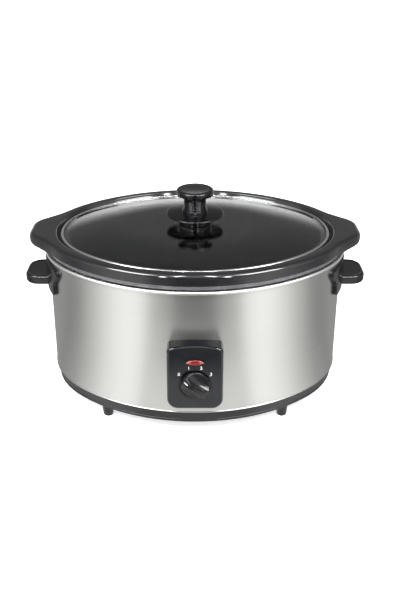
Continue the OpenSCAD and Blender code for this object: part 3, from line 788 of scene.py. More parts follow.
def place_piece(
    name: str,
    bm: Mesh,
    material: Material,
    body: Body,
    nodes: Iterable[str] = (),
    sharp: float = 35.0,
    weighed: bool = False,
) -> bpy.types.Object:
    """Turns a mesh into a piece of the cooker.

    Args:
        name: name of the piece.
        bm: its mesh, in metres; freed here.
        material: its finish.
        body: the body that carries it.
        nodes: frame nodes that it stands for.
        sharp: angle above which an edge stays sharp, in degrees.
        weighed: whether large faces keep their own direction beside rounded edges.

    Returns:
        The new object.
    """
    mesh = bpy.data.meshes.new(name)
    bm.normal_update()
    bm.to_mesh(mesh)
    bm.free()
    mesh.polygons.foreach_set("use_smooth", [True] * len(mesh.polygons))
    mesh.set_sharp_from_angle(angle=math.radians(sharp))
    if weighed:
        weigh_normals(mesh)
    mesh.materials.append(material)
    piece = bpy.data.objects.new(name, mesh)
    bpy.context.scene.collection.objects.link(piece)
    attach(piece, body.value)
    nodes = list(nodes)
    if nodes:
        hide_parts(*nodes)
    LOG.info("%s: %d faces on %s", name, len(mesh.polygons), body.value)
    return piece


def second_finish(
    piece: bpy.types.Object, material: Material, test: Callable[[bpy.types.MeshPolygon], bool]
) -> None:
    """Gives some faces of a piece another finish.

    Args:
        piece: the piece.
        material: the other finish.
        test: tells which faces get it.
    """
    piece.data.materials.append(material)
    for face in piece.data.polygons:
        face.material_index = int(test(face))


def bevel(bm: Mesh, parts: Sequence[object], radius: float, segments: int, affect: str) -> None:
    """Rounds edges or corners.

    Args:
        bm: mesh to change.
        parts: the edges or the corners.
        radius: length cut from each side, in mm.
        segments: number of steps across it.
        affect: EDGES or VERTICES.
    """
    bmesh.ops.bevel(
        bm, geom=list(parts), offset=radius * MM, offset_type="OFFSET", segments=segments, profile=0.5,
        affect=affect, clamp_overlap=True, material=-1,
    )


def soften(bm: Mesh, edges: Sequence[Edge], radius: float, segments: int) -> None:
    """Rounds edges.

    Args:
        bm: mesh to change.
        edges: the edges to round.
        radius: width of the rounding, in mm.
        segments: number of faces across it.
    """
    bevel(bm, edges, radius, segments, "EDGES")


def round_corners(bm: Mesh, verts: Sequence[bmesh.types.BMVert], radius: float, segments: int) -> None:
    """Rounds corners of a flat outline.

    Args:
        bm: mesh to change.
        verts: the corners.
        radius: length cut from each side, in mm.
        segments: number of chords across it.
    """
    bevel(bm, verts, radius, segments, "VERTICES")


def edges_between(bm: Mesh, test: Callable[[Vector], bool]) -> list[Edge]:
    """Edges whose two ends pass a test of their place in mm.

    Args:
        bm: mesh to search.
        test: the test.

    Returns:
        The edges.
    """
    return [edge for edge in bm.edges if all(test(vert.co / MM) for vert in edge.verts)]


def loop_of(bm: Mesh, points: Sequence[Place]) -> list[Edge]:
    """A closed loop of edges through points in mm.

    Args:
        bm: mesh to add to.
        points: the loop's points.

    Returns:
        The new edges.
    """
    verts = [bm.verts.new(Vector(point) * MM) for point in points]
    return [bm.edges.new(pair) for pair in zip(verts, verts[1:] + verts[:1])]


def drawn_on(
    bm: Mesh, edges: Sequence[Edge], change: Callable[[Vector], Vector]
) -> list[Edge]:
    """Extends a loop of edges by a new row of faces.

    Args:
        bm: mesh to change.
        edges: the loop.
        change: gives the new place of a point, both in mm.

    Returns:
        The edges of the new loop.
    """
    made = bmesh.ops.extrude_edge_only(bm, edges=list(edges))["geom"]
    verts = set(verts_in(made))
    for vert in verts:
        vert.co = change(vert.co / MM) * MM
    return [edge for edge in made if isinstance(edge, bmesh.types.BMEdge) and set(edge.verts) <= verts]


def dress(material: Material, *nodes: str) -> None:
    """Gives frame nodes a finish.

    Args:
        material: the finish.
        nodes: names of the nodes.
    """
    for name in nodes:
        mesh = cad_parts[name].data
        mesh.materials.clear()
        mesh.materials.append(material)
        LOG.info("%s: %s", name, material.name)


# Sub-assemblies


@dataclass
class SteelBody:
    """Steel wall and the heating pan with its rolled bead, in mm."""

    bottom: float = 29.0
    top: float = 176.5
    sheet: float = 0.8
    hem: float = 0.7
    flange: float = 1.0
    bead: float = 1.9
    bead_top: float = 177.8
    gap: float = 0.2
    pan_wall: float = -14.0
    pan_sheet: float = 1.0
    pan_bottom: float = 33.0
    pan_corner: float = 15.0

    def wall(self) -> Mesh:
        """The steel wall with a turned lower edge."""
        section = [(-self.sheet, self.bottom)]
        section += arc((-0.1, self.bottom + self.hem), self.hem, -90.0, 80.0, 8)
        section += [(0.0, self.bottom + 2.0 * self.hem + 0.3), (0.0, self.bottom + 8.0)]
        section += [(0.0, self.top), (-self.sheet, self.top)]
        return OVAL.swept(section, True, True)

    def pan(self) -> Mesh:
        """The pan: bead, flange, wall and floor."""
        bead_at = (self.bead + self.gap, self.bead_top - self.bead)
        top = self.top + self.flange
        bend = (self.pan_wall - self.pan_corner, self.pan_bottom + self.pan_corner)
        flat = bend[0] - 6.0
        section = [(flat, self.pan_bottom)]
        section += arc(bend, self.pan_corner, -90.0, 0.0, 10)
        section += [(self.pan_wall, self.top)]
        section += arc(bead_at, self.bead, 180.0, 500.0, 20)
        section += [(self.pan_wall, top)]
        section += arc((self.pan_wall - 1.5, top - 1.0), 0.5, 90.0, 180.0, 4)[1:]
        section += arc(bend, self.pan_corner - self.pan_sheet, 0.0, -90.0, 10)
        section += [(flat, self.pan_bottom + self.pan_sheet)]
        return OVAL.swept(section, False, True)

    def build(self, palette: Palette) -> None:
        """Places the wall and the pan.

        Args:
            palette: the finishes.
        """
        place_piece("steel_wall", self.wall(), palette.shell, Body.BASE, ["outer_shell"])
        place_piece("heating_pan", self.pan(), palette.rolled, Body.BASE, ["heating_liner"], 50.0)


@dataclass
class TrayLip:
    """Rounded lip round the foot of the moulded tray, in mm."""

    bottom: float = 14.6
    top: float = 18.4
    inside: float = -5.2
    outside: float = -2.3
    edge: float = 1.4

    def ring(self) -> Mesh:
        """The lip, a closed section swept round the oval."""
        section = [(self.inside, self.top - 1.0), (self.inside, self.bottom + 0.5)]
        section += [(self.inside + 0.5, self.bottom)]
        section += arc((self.outside - 0.3 - self.edge, self.bottom + self.edge), self.edge, -90.0, 0.0, 7)
        section += [(self.outside, self.top - 0.3), (self.outside - 0.2, self.top)]
        section += [(self.outside - 0.7, self.top + 0.2)]
        return OVAL.swept(section, True)

    def build(self, palette: Palette) -> None:
        """Places the lip.

        Args:
            palette: the finishes.
        """
        place_piece("tray_lip", self.ring(), palette.satin, Body.BASE, [], 40.0)


@dataclass
class Crock:
    """Glazed bowl with a rim, a gallery for the lid and a lug at each end, in mm."""

    bottom: float = 36.5
    floor: float = 44.5
    foot_out: float = -21.0
    foot_in: float = -29.0
    top_out: float = -17.5
    top_in: float = -25.5
    outer_corner: float = 24.0
    bowl_corner: float = 12.0
    rim_under: float = 178.1
    rim_top: float = 195.5
    rim_out: float = 1.0
    rim_round: float = 5.0
    rim_edge: float = 1.5
    rim_foot: float = 2.0
    # height and inset of the band of painted bounce light under the rim
    thin_edge: float = 5.2
    thin_inset: float = 12.0
    gallery_floor: float = 187.0
    gallery_side: float = -13.0
    gallery_mouth: float = -10.4
    inner_edge: float = 2.5
    lug_reach: float = 20.5
    lug_tip: float = 9.6
    lug_corner: float = 25.0
    root_ease: float = 3.0
    lug_fade: Point = (0.60, 0.80)

    def section(self) -> list[Place]:
        """Section of the bowl.

        Returns:
            Offset, height and share of the lug's reach for each point, from under the floor,
            up the outside, over the rim and down the inside.
        """
        flat = self.foot_in - self.bowl_corner - 5.0
        plain = [(flat, self.bottom)]
        turn = (self.foot_out - self.outer_corner, self.bottom + self.outer_corner)
        plain += arc(turn, self.outer_corner, -90.0, 0.0, 12)
        plain += [(self.top_out - 0.6, self.rim_under - 2.0)]
        plain += arc((self.top_out + 1.0, self.rim_under - 1.0), 1.0, 180.0, 90.0, 3)
        foot = (self.rim_out - self.rim_foot, self.rim_under + self.rim_foot)
        plain += arc(foot, self.rim_foot, -90.0, -40.0, 5)
        points = [(across, up, 0.0) for across, up in plain]
        under = [
            (0.3, 0.06), (0.5, 0.24), (0.7, 0.48), (0.95, 0.66), (1.4, 0.79), (2.2, 0.885),
            (3.5, 0.95), (5.2, 0.985), (7.5, 1.0),
        ]
        start = self.rim_under + self.rim_edge
        for rise, share in under:
            depth = max(0.0, self.rim_under + self.rim_foot - start - rise)
            inset = self.rim_foot - math.sqrt(self.rim_foot**2 - depth**2)
            points.append((self.rim_out - inset, start + rise, share))
        shoulder = (self.rim_out - self.rim_round, self.rim_top - self.rim_round)
        points += [(across, up, 1.0) for across, up in arc(shoulder, self.rim_round, 0.0, 90.0, 9)]
        inner = self.gallery_mouth + self.rim_edge
        outer = self.rim_out - self.rim_round
        for i in range(1, 5):
            share = 1.0 - i / 5.0
            points.append((inner + (outer - inner) * share, self.rim_top, share))
        mouth = arc((inner, self.rim_top - self.rim_edge), self.rim_edge, 90.0, 165.0, 5)
        inside = mouth + [(self.gallery_side + 0.4, self.gallery_floor + 0.7)]
        inside += [(self.gallery_side - 0.6, self.gallery_floor)]
        ledge = (self.top_in + self.inner_edge, self.gallery_floor - self.inner_edge)
        inside += arc(ledge, self.inner_edge, 90.0, 180.0, 6)
        bend = (self.foot_in - self.bowl_corner, self.floor + self.bowl_corner)
        inside += arc(bend, self.bowl_corner, 0.0, -90.0, 14)
        inside += [(flat, self.floor)]
        points += [(across, up, 0.0) for across, up in inside]
        return points

    def lug_push(self, turn: float) -> float:
        """How far the rim is drawn out at an angle about the end curve's centre.

        Args:
            turn: angle from straight out, in radians.

        Returns:
            The reach past the plain rim, in mm.
        """
        turn = abs(turn)
        tip = OVAL.end_radius + self.lug_reach
        corner = (tip - self.lug_corner, self.lug_tip)
        cut = self.lug_corner / math.sqrt(2.0)
        if turn <= math.atan2(self.lug_tip, tip):
            reach = tip / math.cos(turn)
        elif turn <= math.atan2(corner[1] + cut, corner[0] + cut):
            ahead = corner[0] * math.cos(turn) + corner[1] * math.sin(turn)
            reach = ahead + math.sqrt(ahead**2 - corner[0] ** 2 - corner[1] ** 2 + self.lug_corner**2)
        else:
            reach = (corner[0] + corner[1] + 2.0 * cut) / (math.cos(turn) + math.sin(turn))
        over = reach - OVAL.end_radius - self.rim_out
        eased = 0.5 * (over + math.sqrt(over**2 + self.root_ease**2))
        return min(eased, over + 0.2 if over > 5.0 else eased) * (1.0 - smoothstep(*self.lug_fade, turn))

    def bowl(self) -> Mesh:
        """The bowl with its lugs drawn out of the rim."""
        bm = bmesh.new()
        points = self.section()
        OVAL.sweep(bm, [(across, up) for across, up, _ in points], False, [share for _, _, share in points])
        bmesh.ops.remove_doubles(bm, verts=bm.verts[:], dist=1e-6)
        layer = bm.verts.layers.float["share"]
        for vert in bm.verts:
            x, y = vert.co.x / MM, vert.co.y / MM - OVAL.centre_y
            side = 1.0 if x > 0.0 else -1.0
            out = Vector((abs(x) - OVAL.end_centre, y))
            turn = math.atan2(out.y, out.x)
            if abs(turn) >= OVAL.end_angle or vert[layer] <= 0.0:
                continue
            push = out.normalized() * self.lug_push(turn) * vert[layer] * MM
            vert.co.x += side * push.x
            vert.co.y += push.y
        face_out(bm)
        close_holes(bm)
        return bm

    def build(self, palette: Palette) -> None:
        """Places the bowl.

        Args:
            palette: the finishes.
        """
        bowl = place_piece(
            "stoneware_bowl", self.bowl(), palette.stoneware, Body.CROCK, ["crock"], 50.0
        )
        # Painted bounce light: faces along the rim's lower edge get a much lighter copy of the glaze.
        second_finish(bowl, palette.thin_glaze, lambda face: self.on_thin_edge(face.center))

    def on_thin_edge(self, place: Vector) -> bool:
        """Tells where bounce light from the bead is painted as a lighter band along the lower edge of the
        rim.

        Args:
            place: middle of a face, in metres.

        Returns:
            Whether the face is on that edge.
        """
        x, y, z = abs(place.x) / MM, abs(place.y / MM - OVAL.centre_y), place.z / MM - self.rim_under
        if not 0.05 < z < self.thin_edge:
            return False
        turn = math.atan2(y, x - OVAL.end_centre)
        if turn < OVAL.end_angle and self.lug_push(turn) > 1.0:
            return False
        length, width = OVAL.half_length - self.thin_inset, OVAL.half_width - self.thin_inset
        return (x / length) ** 2 + (y / width) ** 2 > 1.0


@dataclass
class Lid:
    """Domed glass in a folded steel channel, with a guarded knob, in mm."""

    inset: float = 15.0
    bottom: float = 187.3
    sheet: float = 0.8
    cover: float = 2.8
    glass: float = 4.0
    gap: float = 0.2
    rise: float = 9.2
    flat_radius: float = 24.0
    guard_radius: float = 33.0
    collar_radius: float = 18.5
    collar: float = 10.0
    guard_edge: float = 2.0
    guard_rise: float = 3.5
    neck_radius: float = 13.0
    neck: float = 18.0
    rings: int = 5
    knob_radius: float = 21.5
    knob: float = 7.2
    cap_radius: float = 14.5
    cap: float = 1.6
    cap_dish: float = 0.5
    knob_edge: float = 2.4
    channel_edge: float = 1.2
    ring_round: float = 0.95
    ring_pitch: float = 1.9
    ring_start: float = 2.7
    # least upward share of a face's normal that gets the painted shade on the guard
    level_from: float = 0.95

    @property
    def glass_top(self) -> float:
        """Height of the dome's level centre."""
        return self.bottom + self.sheet + self.glass + self.rise

    @property
    def guard_top(self) -> float:
        """Height of the guard's middle."""
        return self.glass_top + self.collar + self.guard_edge + self.guard_rise

    def dome(self) -> Mesh:
        """The glass, with a rounded edge."""
        edge = -(self.inset + self.sheet + self.gap)
        start = -(self.inset + self.cover + 1.0)
        end = -(OVAL.end_radius - self.flat_radius)
        run = start - end
        radius = (run**2 + self.rise**2) / (2.0 * self.rise)
        turn = math.degrees(math.asin(run / radius))
        under = self.bottom + self.sheet
        section = [(end - 1.0, self.glass_top - self.glass)]
        section += arc((end, self.glass_top - self.glass - radius), radius, 90.0, 90.0 - turn, 16)
        section += [(edge, under), (edge, under + self.glass)]
        section += arc((end, self.glass_top - radius), radius, 90.0 - turn, 90.0, 16)
        section += [(end - 1.0, self.glass_top)]
        return OVAL.swept(section, False)

    def channel(self) -> Mesh:
        """The folded steel channel round the glass."""
        out = -self.inset
        inside = out - self.cover
        top = self.bottom + 2.0 * self.sheet + self.glass + self.gap
        lip = self.bottom + self.sheet - self.gap
        edge = self.channel_edge
        section = [(inside, self.bottom)]
        section += arc((out - edge, self.bottom + edge), edge, -90.0, 0.0, 6)
        section += arc((out - edge, top - edge), edge, 0.0, 90.0, 6)
        section += arc((inside + 0.4, top - 0.4), 0.4, 90.0, 180.0, 3)
        section += [(inside, top - self.sheet), (out - self.sheet, top - self.sheet)]
        section += [(out - self.sheet, lip), (inside, lip)]
        return OVAL.swept(section, True, True)

    def guard(self) -> Mesh:
        """Collar and guard disc."""
        under = self.glass_top + self.collar
        edge = self.guard_edge / 2.0
        section = [(0.0, self.glass_top), (self.collar_radius - 0.6, self.glass_top)]
        section += [(self.collar_radius, self.glass_top + 0.6)]
        section += arc((self.collar_radius + 3.0, under - 3.0), 3.0, 180.0, 90.0, 6)
        section += arc((self.guard_radius - edge, under + edge), edge, -90.0, 90.0, 8)
        level = under + self.guard_edge
        section += [(self.neck_radius + 1.8, level + 0.5), (self.neck_radius + 1.6, level + 0.7)]
        section += [(self.neck_radius + 1.5, self.guard_top - 0.3), (self.neck_radius + 1.2, self.guard_top)]
        section += [(0.0, self.guard_top)]
        return spun(section, (0.0, OVAL.centre_y))

    def grip(self) -> Mesh:
        """Neck and round top with a recess for the cap."""
        base = self.guard_top
        neck_top = base + self.neck
        top = neck_top + self.knob
        edge = self.knob_edge
        flare = self.knob_radius - self.neck_radius - edge + self.gap
        section = [(0.0, base), (self.neck_radius + 0.9, base)]
        section += arc((self.neck_radius + 0.3, base + 0.9), 0.8, -60.0, 90.0, 6)
        for i in range(self.rings):
            middle = (self.neck_radius - self.ring_round, base + self.ring_start + self.ring_pitch * i)
            section += arc(middle, self.ring_round, -60.0, 60.0, 6)
        section += arc((self.neck_radius + flare, neck_top - flare / 2.0), flare, 180.0, 105.0, 8)
        section += arc((self.knob_radius - edge, neck_top + edge), edge, -80.0, 0.0, 7)
        section += arc((self.knob_radius - edge, top - edge), edge, 0.0, 90.0, 8)
        room = self.cap_radius + self.gap
        section += arc((room + 0.15, top - 0.15), 0.15, 90.0, 180.0, 3)
        section += [(room, top - self.cap), (0.0, top - self.cap)]
        return spun(section, (0.0, OVAL.centre_y))

    def cap_disc(self) -> Mesh:
        """Slightly dished cap in the knob's top."""
        bottom = self.guard_top + self.neck + self.knob - self.cap
        section = [(0.0, bottom), (self.cap_radius, bottom)]
        section += arc((self.cap_radius - 0.2, bottom + self.cap - 0.2), 0.2, 0.0, 90.0, 4)
        for share in (0.9, 0.75, 0.6, 0.45, 0.3, 0.15, 0.0):
            up = bottom + self.cap - self.cap_dish * (1.0 - share**2)
            section.append((self.cap_radius * share, up))
        return spun(section, (0.0, OVAL.centre_y))

    def build(self, palette: Palette) -> None:
        """Places the lid's pieces.

        Args:
            palette: the finishes.
        """
        place_piece("dome_glass", self.dome(), palette.glass, Body.LID, ["lid_glass"], 30.0)
        place_piece("dome_channel", self.channel(), palette.bright, Body.LID, ["lid_rim"], 50.0)
        disc = place_piece("knob_disc", self.guard(), palette.gloss, Body.LID, ["knob_guard"])
        # Painted shade: the guard's level top faces get the darker copy of the gloss black.
        second_finish(disc, palette.disc, lambda face: face.normal.z > self.level_from)
        place_piece("knob_top", self.grip(), palette.gloss, Body.LID, ["knob_grip"])
        place_piece("knob_inlay", self.cap_disc(), palette.gloss, Body.LID, ["knob_cap"])


@dataclass
class SideHandle:
    """Dished shelf grip on a curved plate at one end of the body, in mm."""

    name: str
    node: str
    side: float
    bottom: float = 132.5
    thickness: float = 11.5
    root: float = 166.5
    tip: float = 199.5
    half_width: float = 26.0
    corner: float = 16.0
    lower_edge: float = 3.6
    upper_edge: float = 3.0
    lip: float = 0.6
    dish: float = 0.8
    plate_half: float = 54.0
    plate_flare: float = 11.0
    plate_height: float = 34.5
    plate_thickness: float = 4.0
    seat: float = 0.2
    column: float = 4.0
    foot_corner: float = 2.6
    end_corner: float = 6.0
    bend_corner: float = 4.0
    plate_edge: float = 1.1

    def grip(self, bm: Mesh) -> None:
        """Adds the shelf: a block with its edges rounded and its top sunk.

        Args:
            bm: mesh to add to.
        """
        top = self.bottom + self.thickness
        middle = Vector(((self.root + self.tip) / 2.0, 0.0, (self.bottom + top) / 2.0)) * MM
        size = Vector((self.tip - self.root, 2.0 * self.half_width, self.thickness)) * MM
        bmesh.ops.create_cube(bm, size=1.0, matrix=Matrix.Translation(middle) @ Matrix.Diagonal((*size, 1.0)))
        posts = [
            edge for edge in edges_between(bm, lambda place: place.x > self.tip - 0.01)
            if abs(edge.verts[0].co.z - edge.verts[1].co.z) > 1e-6
        ]
        soften(bm, posts, self.corner, 14)
        rims = (
            (lambda place: place.z < self.bottom + 0.01, self.lower_edge, 6),
            (lambda place: place.z > top - 0.01, self.upper_edge, 7),
        )
        for test, radius, segments in rims:
            rim = edges_between(bm, test)
            free = [edge for edge in rim if max(vert.co.x for vert in edge.verts) > (self.root + 0.01) * MM]
            soften(bm, free, radius, segments)
        bm.normal_update()
        crown = max((face for face in bm.faces if face.normal.z > 0.99), key=lambda face: face.calc_area())
        for width, depth in ((self.lip, 0.0), (0.3, -0.25), (0.9, 0.25 - self.dish)):
            bmesh.ops.inset_region(
                bm, faces=[crown], thickness=width * MM, depth=depth * MM, use_even_offset=True
            )

    def plate(self, bm: Mesh) -> None:
        """Adds the plate: a flared outline cut into columns, thickened and bent round the body's end.

        Args:
            bm: mesh to add to.
        """
        top = self.bottom + self.plate_height
        shoulder = top - 0.7 * self.plate_flare
        waist = shoulder - 1.2 * self.plate_flare
        wide = self.plate_half + self.plate_flare
        outline = [(self.plate_half, self.bottom), (self.plate_half, waist), (wide, shoulder), (wide, top)]
        outline += [(-across, up) for across, up in reversed(outline)]
        verts = [bm.verts.new((0.0, across * MM, up * MM)) for across, up in outline]
        bm.faces.new(verts)
        round_corners(bm, [verts[0], verts[-1]], self.foot_corner, 5)
        ends = [vert for vert in bm.verts if abs(vert.co.z - top * MM) < 1e-7]
        round_corners(bm, ends, self.end_corner, 6)
        bends = [
            vert for vert in bm.verts
            if min(abs(vert.co.z - waist * MM), abs(vert.co.z - shoulder * MM)) < 1e-7
        ]
        round_corners(bm, bends, self.bend_corner, 5)
        across = -wide + self.column
        while across < wide:
            bmesh.ops.bisect_plane(
                bm, geom=bm.verts[:] + bm.edges[:] + bm.faces[:], plane_co=(0.0, across * MM, 0.0),
                plane_no=(0.0, 1.0, 0.0)
            )
            across += self.column
        made = bmesh.ops.extrude_face_region(bm, geom=bm.faces[:])["geom"]
        for vert in verts_in(made):
            vert.co.x += (self.plate_thickness - self.seat) * MM
        face_out(bm)
        front = (self.plate_thickness - self.seat - 0.01) * MM
        rim = [
            edge for edge in bm.edges
            if all(vert.co.x > front for vert in edge.verts)
            and any(abs(face.normal.x) < 0.5 for face in edge.link_faces)
        ]
        soften(bm, rim, self.plate_edge, 4)
        for vert in bm.verts:
            out = OVAL.end_radius + self.seat + vert.co.x / MM
            turn = math.asin(vert.co.y / MM / (OVAL.end_radius + self.plate_thickness / 2.0))
            vert.co.x = (OVAL.end_centre + out * math.cos(turn)) * MM
            vert.co.y = out * math.sin(turn) * MM

    def build(self, palette: Palette) -> None:
        """Places the handle.

        Args:
            palette: the finishes.
        """
        bm = bmesh.new()
        self.plate(bm)
        shelf = bmesh.new()
        self.grip(shelf)
        rounded = bpy.data.meshes.new("shelf")
        shelf.to_mesh(rounded)
        shelf.free()
        bm.from_mesh(rounded)
        bpy.data.meshes.remove(rounded)
        for vert in bm.verts:
            vert.co.x *= self.side
            vert.co.y += OVAL.centre_y * MM
        face_out(bm)
        place_piece(self.name, bm, palette.handle, Body.BASE, [self.node], 40.0, True)


@dataclass
class ControlPanel:
    """Moulded panel with a sunk ring for the dial, a red window and printed numerals, in mm."""

    face: float = -139.5
    back: float = -121.5
    half_width: float = 30.0
    foot: float = 44.0
    top: float = 121.0
    arch: float = 2.5
    top_corner: float = 5.0
    foot_corner: float = 12.0
    front_edge: float = 3.4
    lean_height: float = 21.0
    lean: float = 0.0072
    dial_level: float = 75.5
    ring_radius: float = 16.9
    ring_depth: float = 2.2
    lens_level: float = 102.0
    lens_half: float = 9.5
    lens_rise: float = 3.2
    mouth_edge: float = 0.4
    slot_gap: float = 0.5
    slot_depth: float = 0.9
    # height and slope from which the panel's top faces get the painted shade
    roof_from: float = 110.0
    roof_slope: float = 0.8
    print_height: float = 0.06
    numeral_radius: float = 21.0
    numeral_size: float = 5.4
    numeral_angles: tuple[float, ...] = (144.0, 108.0, 72.0, 36.0)

    def lens_points(self, grow: float, steps: int = 20) -> list[Point]:
        """Outline of the window, two arcs that meet in a point at each end.

        Args:
            grow: distance to add all round.
            steps: chords in each arc.

        Returns:
            The points, anticlockwise seen from the front.
        """
        half, rise = self.lens_half + grow, self.lens_rise + grow
        curve = (half * half + rise * rise) / (2.0 * rise)
        turn = math.degrees(math.asin(half / curve))
        upper = arc((0.0, rise - curve), curve, 90.0 - turn, 90.0 + turn, steps)
        return upper[:-1] + [(-across, -up) for across, up in upper[:-1]]

    def shell(self) -> Mesh:
        """The panel: an outline drawn back to the body, its edges rounded and its face pierced."""
        bm = bmesh.new()
        shoulder = self.top - self.arch
        radius = (self.half_width**2 + self.arch**2) / (2.0 * self.arch)
        outline = [(-self.half_width, self.foot), (self.half_width, self.foot)]
        for i in range(9):
            across = self.half_width * (1.0 - i / 4.0)
            outline.append((across, self.top - radius + math.sqrt(radius**2 - across**2)))
        verts = [bm.verts.new((across * MM, self.back * MM, up * MM)) for across, up in outline]
        bm.faces.new(verts)
        round_corners(bm, verts[:2], self.foot_corner, 10)
        tops = [vert for vert in bm.verts if abs(vert.co.z - shoulder * MM) < 1e-6]
        round_corners(bm, tops, self.top_corner, 6)
        made = bmesh.ops.extrude_face_region(bm, geom=bm.faces[:])["geom"]
        bmesh.ops.translate(bm, verts=verts_in(made), vec=(0.0, (self.face - self.back) * MM, 0.0))
        face_out(bm)
        soften(bm, edges_between(bm, lambda place: place.y < self.face + 0.01), self.front_edge, 6)
        bm.normal_update()
        front = min(bm.faces, key=lambda face: face.calc_center_median().y - face.calc_area())
        rim = list(front.edges)
        bmesh.ops.delete(bm, geom=[front], context="FACES_ONLY")
        wide = self.ring_radius + self.mouth_edge
        mouth = [
            (across, self.face, self.dial_level + up)
            for across, up in arc((0.0, 0.0), wide, 0.0, 352.5, 47)
        ]
        ring = loop_of(bm, mouth)
        window = self.lens_points(self.slot_gap)
        slot = loop_of(bm, [(across, self.face, self.lens_level + up) for across, up in window])
        bmesh.ops.triangle_fill(bm, use_beauty=True, use_dissolve=False, edges=rim + ring + slot)
        shrink = self.ring_radius / wide

        def inwards(place: Vector) -> Vector:
            """Steps in over the ring's rounded mouth."""
            up = self.dial_level + (place.z - self.dial_level) * shrink
            return Vector((place.x * shrink, place.y + self.mouth_edge, up))

        ring = drawn_on(bm, ring, inwards)
        ring = drawn_on(bm, ring, lambda place: Vector((place.x, self.face + self.ring_depth, place.z)))
        bmesh.ops.holes_fill(bm, edges=ring, sides=0)
        slot = drawn_on(bm, slot, lambda place: Vector((place.x, self.face + self.slot_depth, place.z)))
        bmesh.ops.holes_fill(bm, edges=slot, sides=0)
        face_out(bm)
        self.lean_back(bm)
        return bm

    def lean_back(self, bm: Mesh) -> None:
        """Lets the upper face lean back in a shallow bow, most in the middle.

        Args:
            bm: the panel's mesh, in metres.
        """
        low = self.top - self.lean_height
        up, right = Vector((0.0, 0.0, 1.0)), Vector((1.0, 0.0, 0.0))
        cuts = [(up * (low + self.lean_height * i / 20.0), up) for i in range(20)]
        cuts += [(right * (2.5 * i), right) for i in range(-11, 12)]
        for place, along in cuts:
            faces = [
                face
                for face in bm.faces
                if face.normal.y < -0.2 and max(vert.co.z for vert in face.verts) > low * MM
            ]
            edges = list({edge for face in faces for edge in face.edges})
            verts = list({vert for face in faces for vert in face.verts})
            geom = verts + edges + faces
            bmesh.ops.bisect_plane(bm, geom=geom, dist=1e-6, plane_co=place * MM, plane_no=along)
            bm.normal_update()
        for vert in bm.verts:
            across = min(1.0, abs(vert.co.x) / MM / self.half_width)
            rise = max(0.0, vert.co.z / MM - self.top + self.lean_height * (1.0 - across**2))
            share = min(1.0, (self.back - vert.co.y / MM) / (self.back - self.face))
            vert.co.y += self.lean * rise**2 * share * MM
        face_out(bm)

    def lens(self) -> Mesh:
        """The window, crowned towards its middle."""
        bm = bmesh.new()
        back = self.face + self.slot_depth
        ring = loop_of(bm, [(across, back, self.lens_level + up) for across, up in self.lens_points(0.0)])
        rows = [(1.0, 0.35), (0.95, 0.75), (0.84, 1.05), (0.66, 1.28), (0.42, 1.43), (0.2, 1.5)]
        scale_now = 1.0
        for scale, proud in rows:
            ratio = scale / scale_now

            def step(place: Vector, ratio: float = ratio, proud: float = proud) -> Vector:
                """Draws the loop in and forwards."""
                up = self.lens_level + (place.z - self.lens_level) * ratio
                return Vector((place.x * ratio, self.face - proud, up))

            ring = drawn_on(bm, ring, step)
            scale_now = scale
        close_holes(bm)
        tidy(bm)
        return bm

    def numeral(self, text: str, centre: Point) -> Mesh:
        """A printed numeral on the panel's face.

        Args:
            text: the numeral.
            centre: its middle, across and up, in mm.

        Returns:
            The mesh in place.
        """
        curve = bpy.data.curves.new("numeral", "FONT")
        curve.body = text
        curve.size = self.numeral_size * MM
        curve.align_x = "CENTER"
        curve.align_y = "CENTER"
        curve.extrude = self.print_height * MM
        curve.offset = 0.03 * MM
        curve.resolution_u = 6
        holder = bpy.data.objects.new("numeral", curve)
        bpy.context.scene.collection.objects.link(holder)
        bpy.context.view_layer.update()
        flat = bpy.data.meshes.new_from_object(holder.evaluated_get(bpy.context.evaluated_depsgraph_get()))
        bpy.data.objects.remove(holder)
        bpy.data.curves.remove(curve)
        bm = bmesh.new()
        bm.from_mesh(flat)
        bpy.data.meshes.remove(flat)
        turn = Matrix.Rotation(math.pi / 2.0, 4, "X")
        shift = Matrix.Translation(Vector((centre[0], self.face - 0.05, centre[1])) * MM)
        bmesh.ops.transform(bm, matrix=shift @ turn, verts=bm.verts[:])
        return bm

    def on_roof(self, face: bpy.types.MeshPolygon) -> bool:
        """Tells which faces lie on top of the panel and get the painted shade."""
        return face.normal.z > self.roof_slope and face.center.z > self.roof_from * MM

    def build(self, palette: Palette) -> None:
        """Places the panel, its window and its numerals.

        Args:
            palette: the finishes.
        """
        moulding = place_piece(
            "panel_moulding", self.shell(), palette.panel, Body.BASE, ["control_panel"],
            40.0, True
        )
        # Painted shade: the panel's top faces get the darker copy of its finish.
        second_finish(moulding, palette.roof, self.on_roof)
        place_piece("panel_window", self.lens(), palette.lens, Body.BASE, ["indicator_lens"], 50.0)
        for i, angle in enumerate(self.numeral_angles):
            turn = math.radians(angle)
            centre = (
                self.numeral_radius * math.cos(turn),
                self.dial_level + self.numeral_radius * math.sin(turn),
            )
            place_piece(f"numeral_{i}", self.numeral(str(i), centre), palette.ink, Body.BASE)


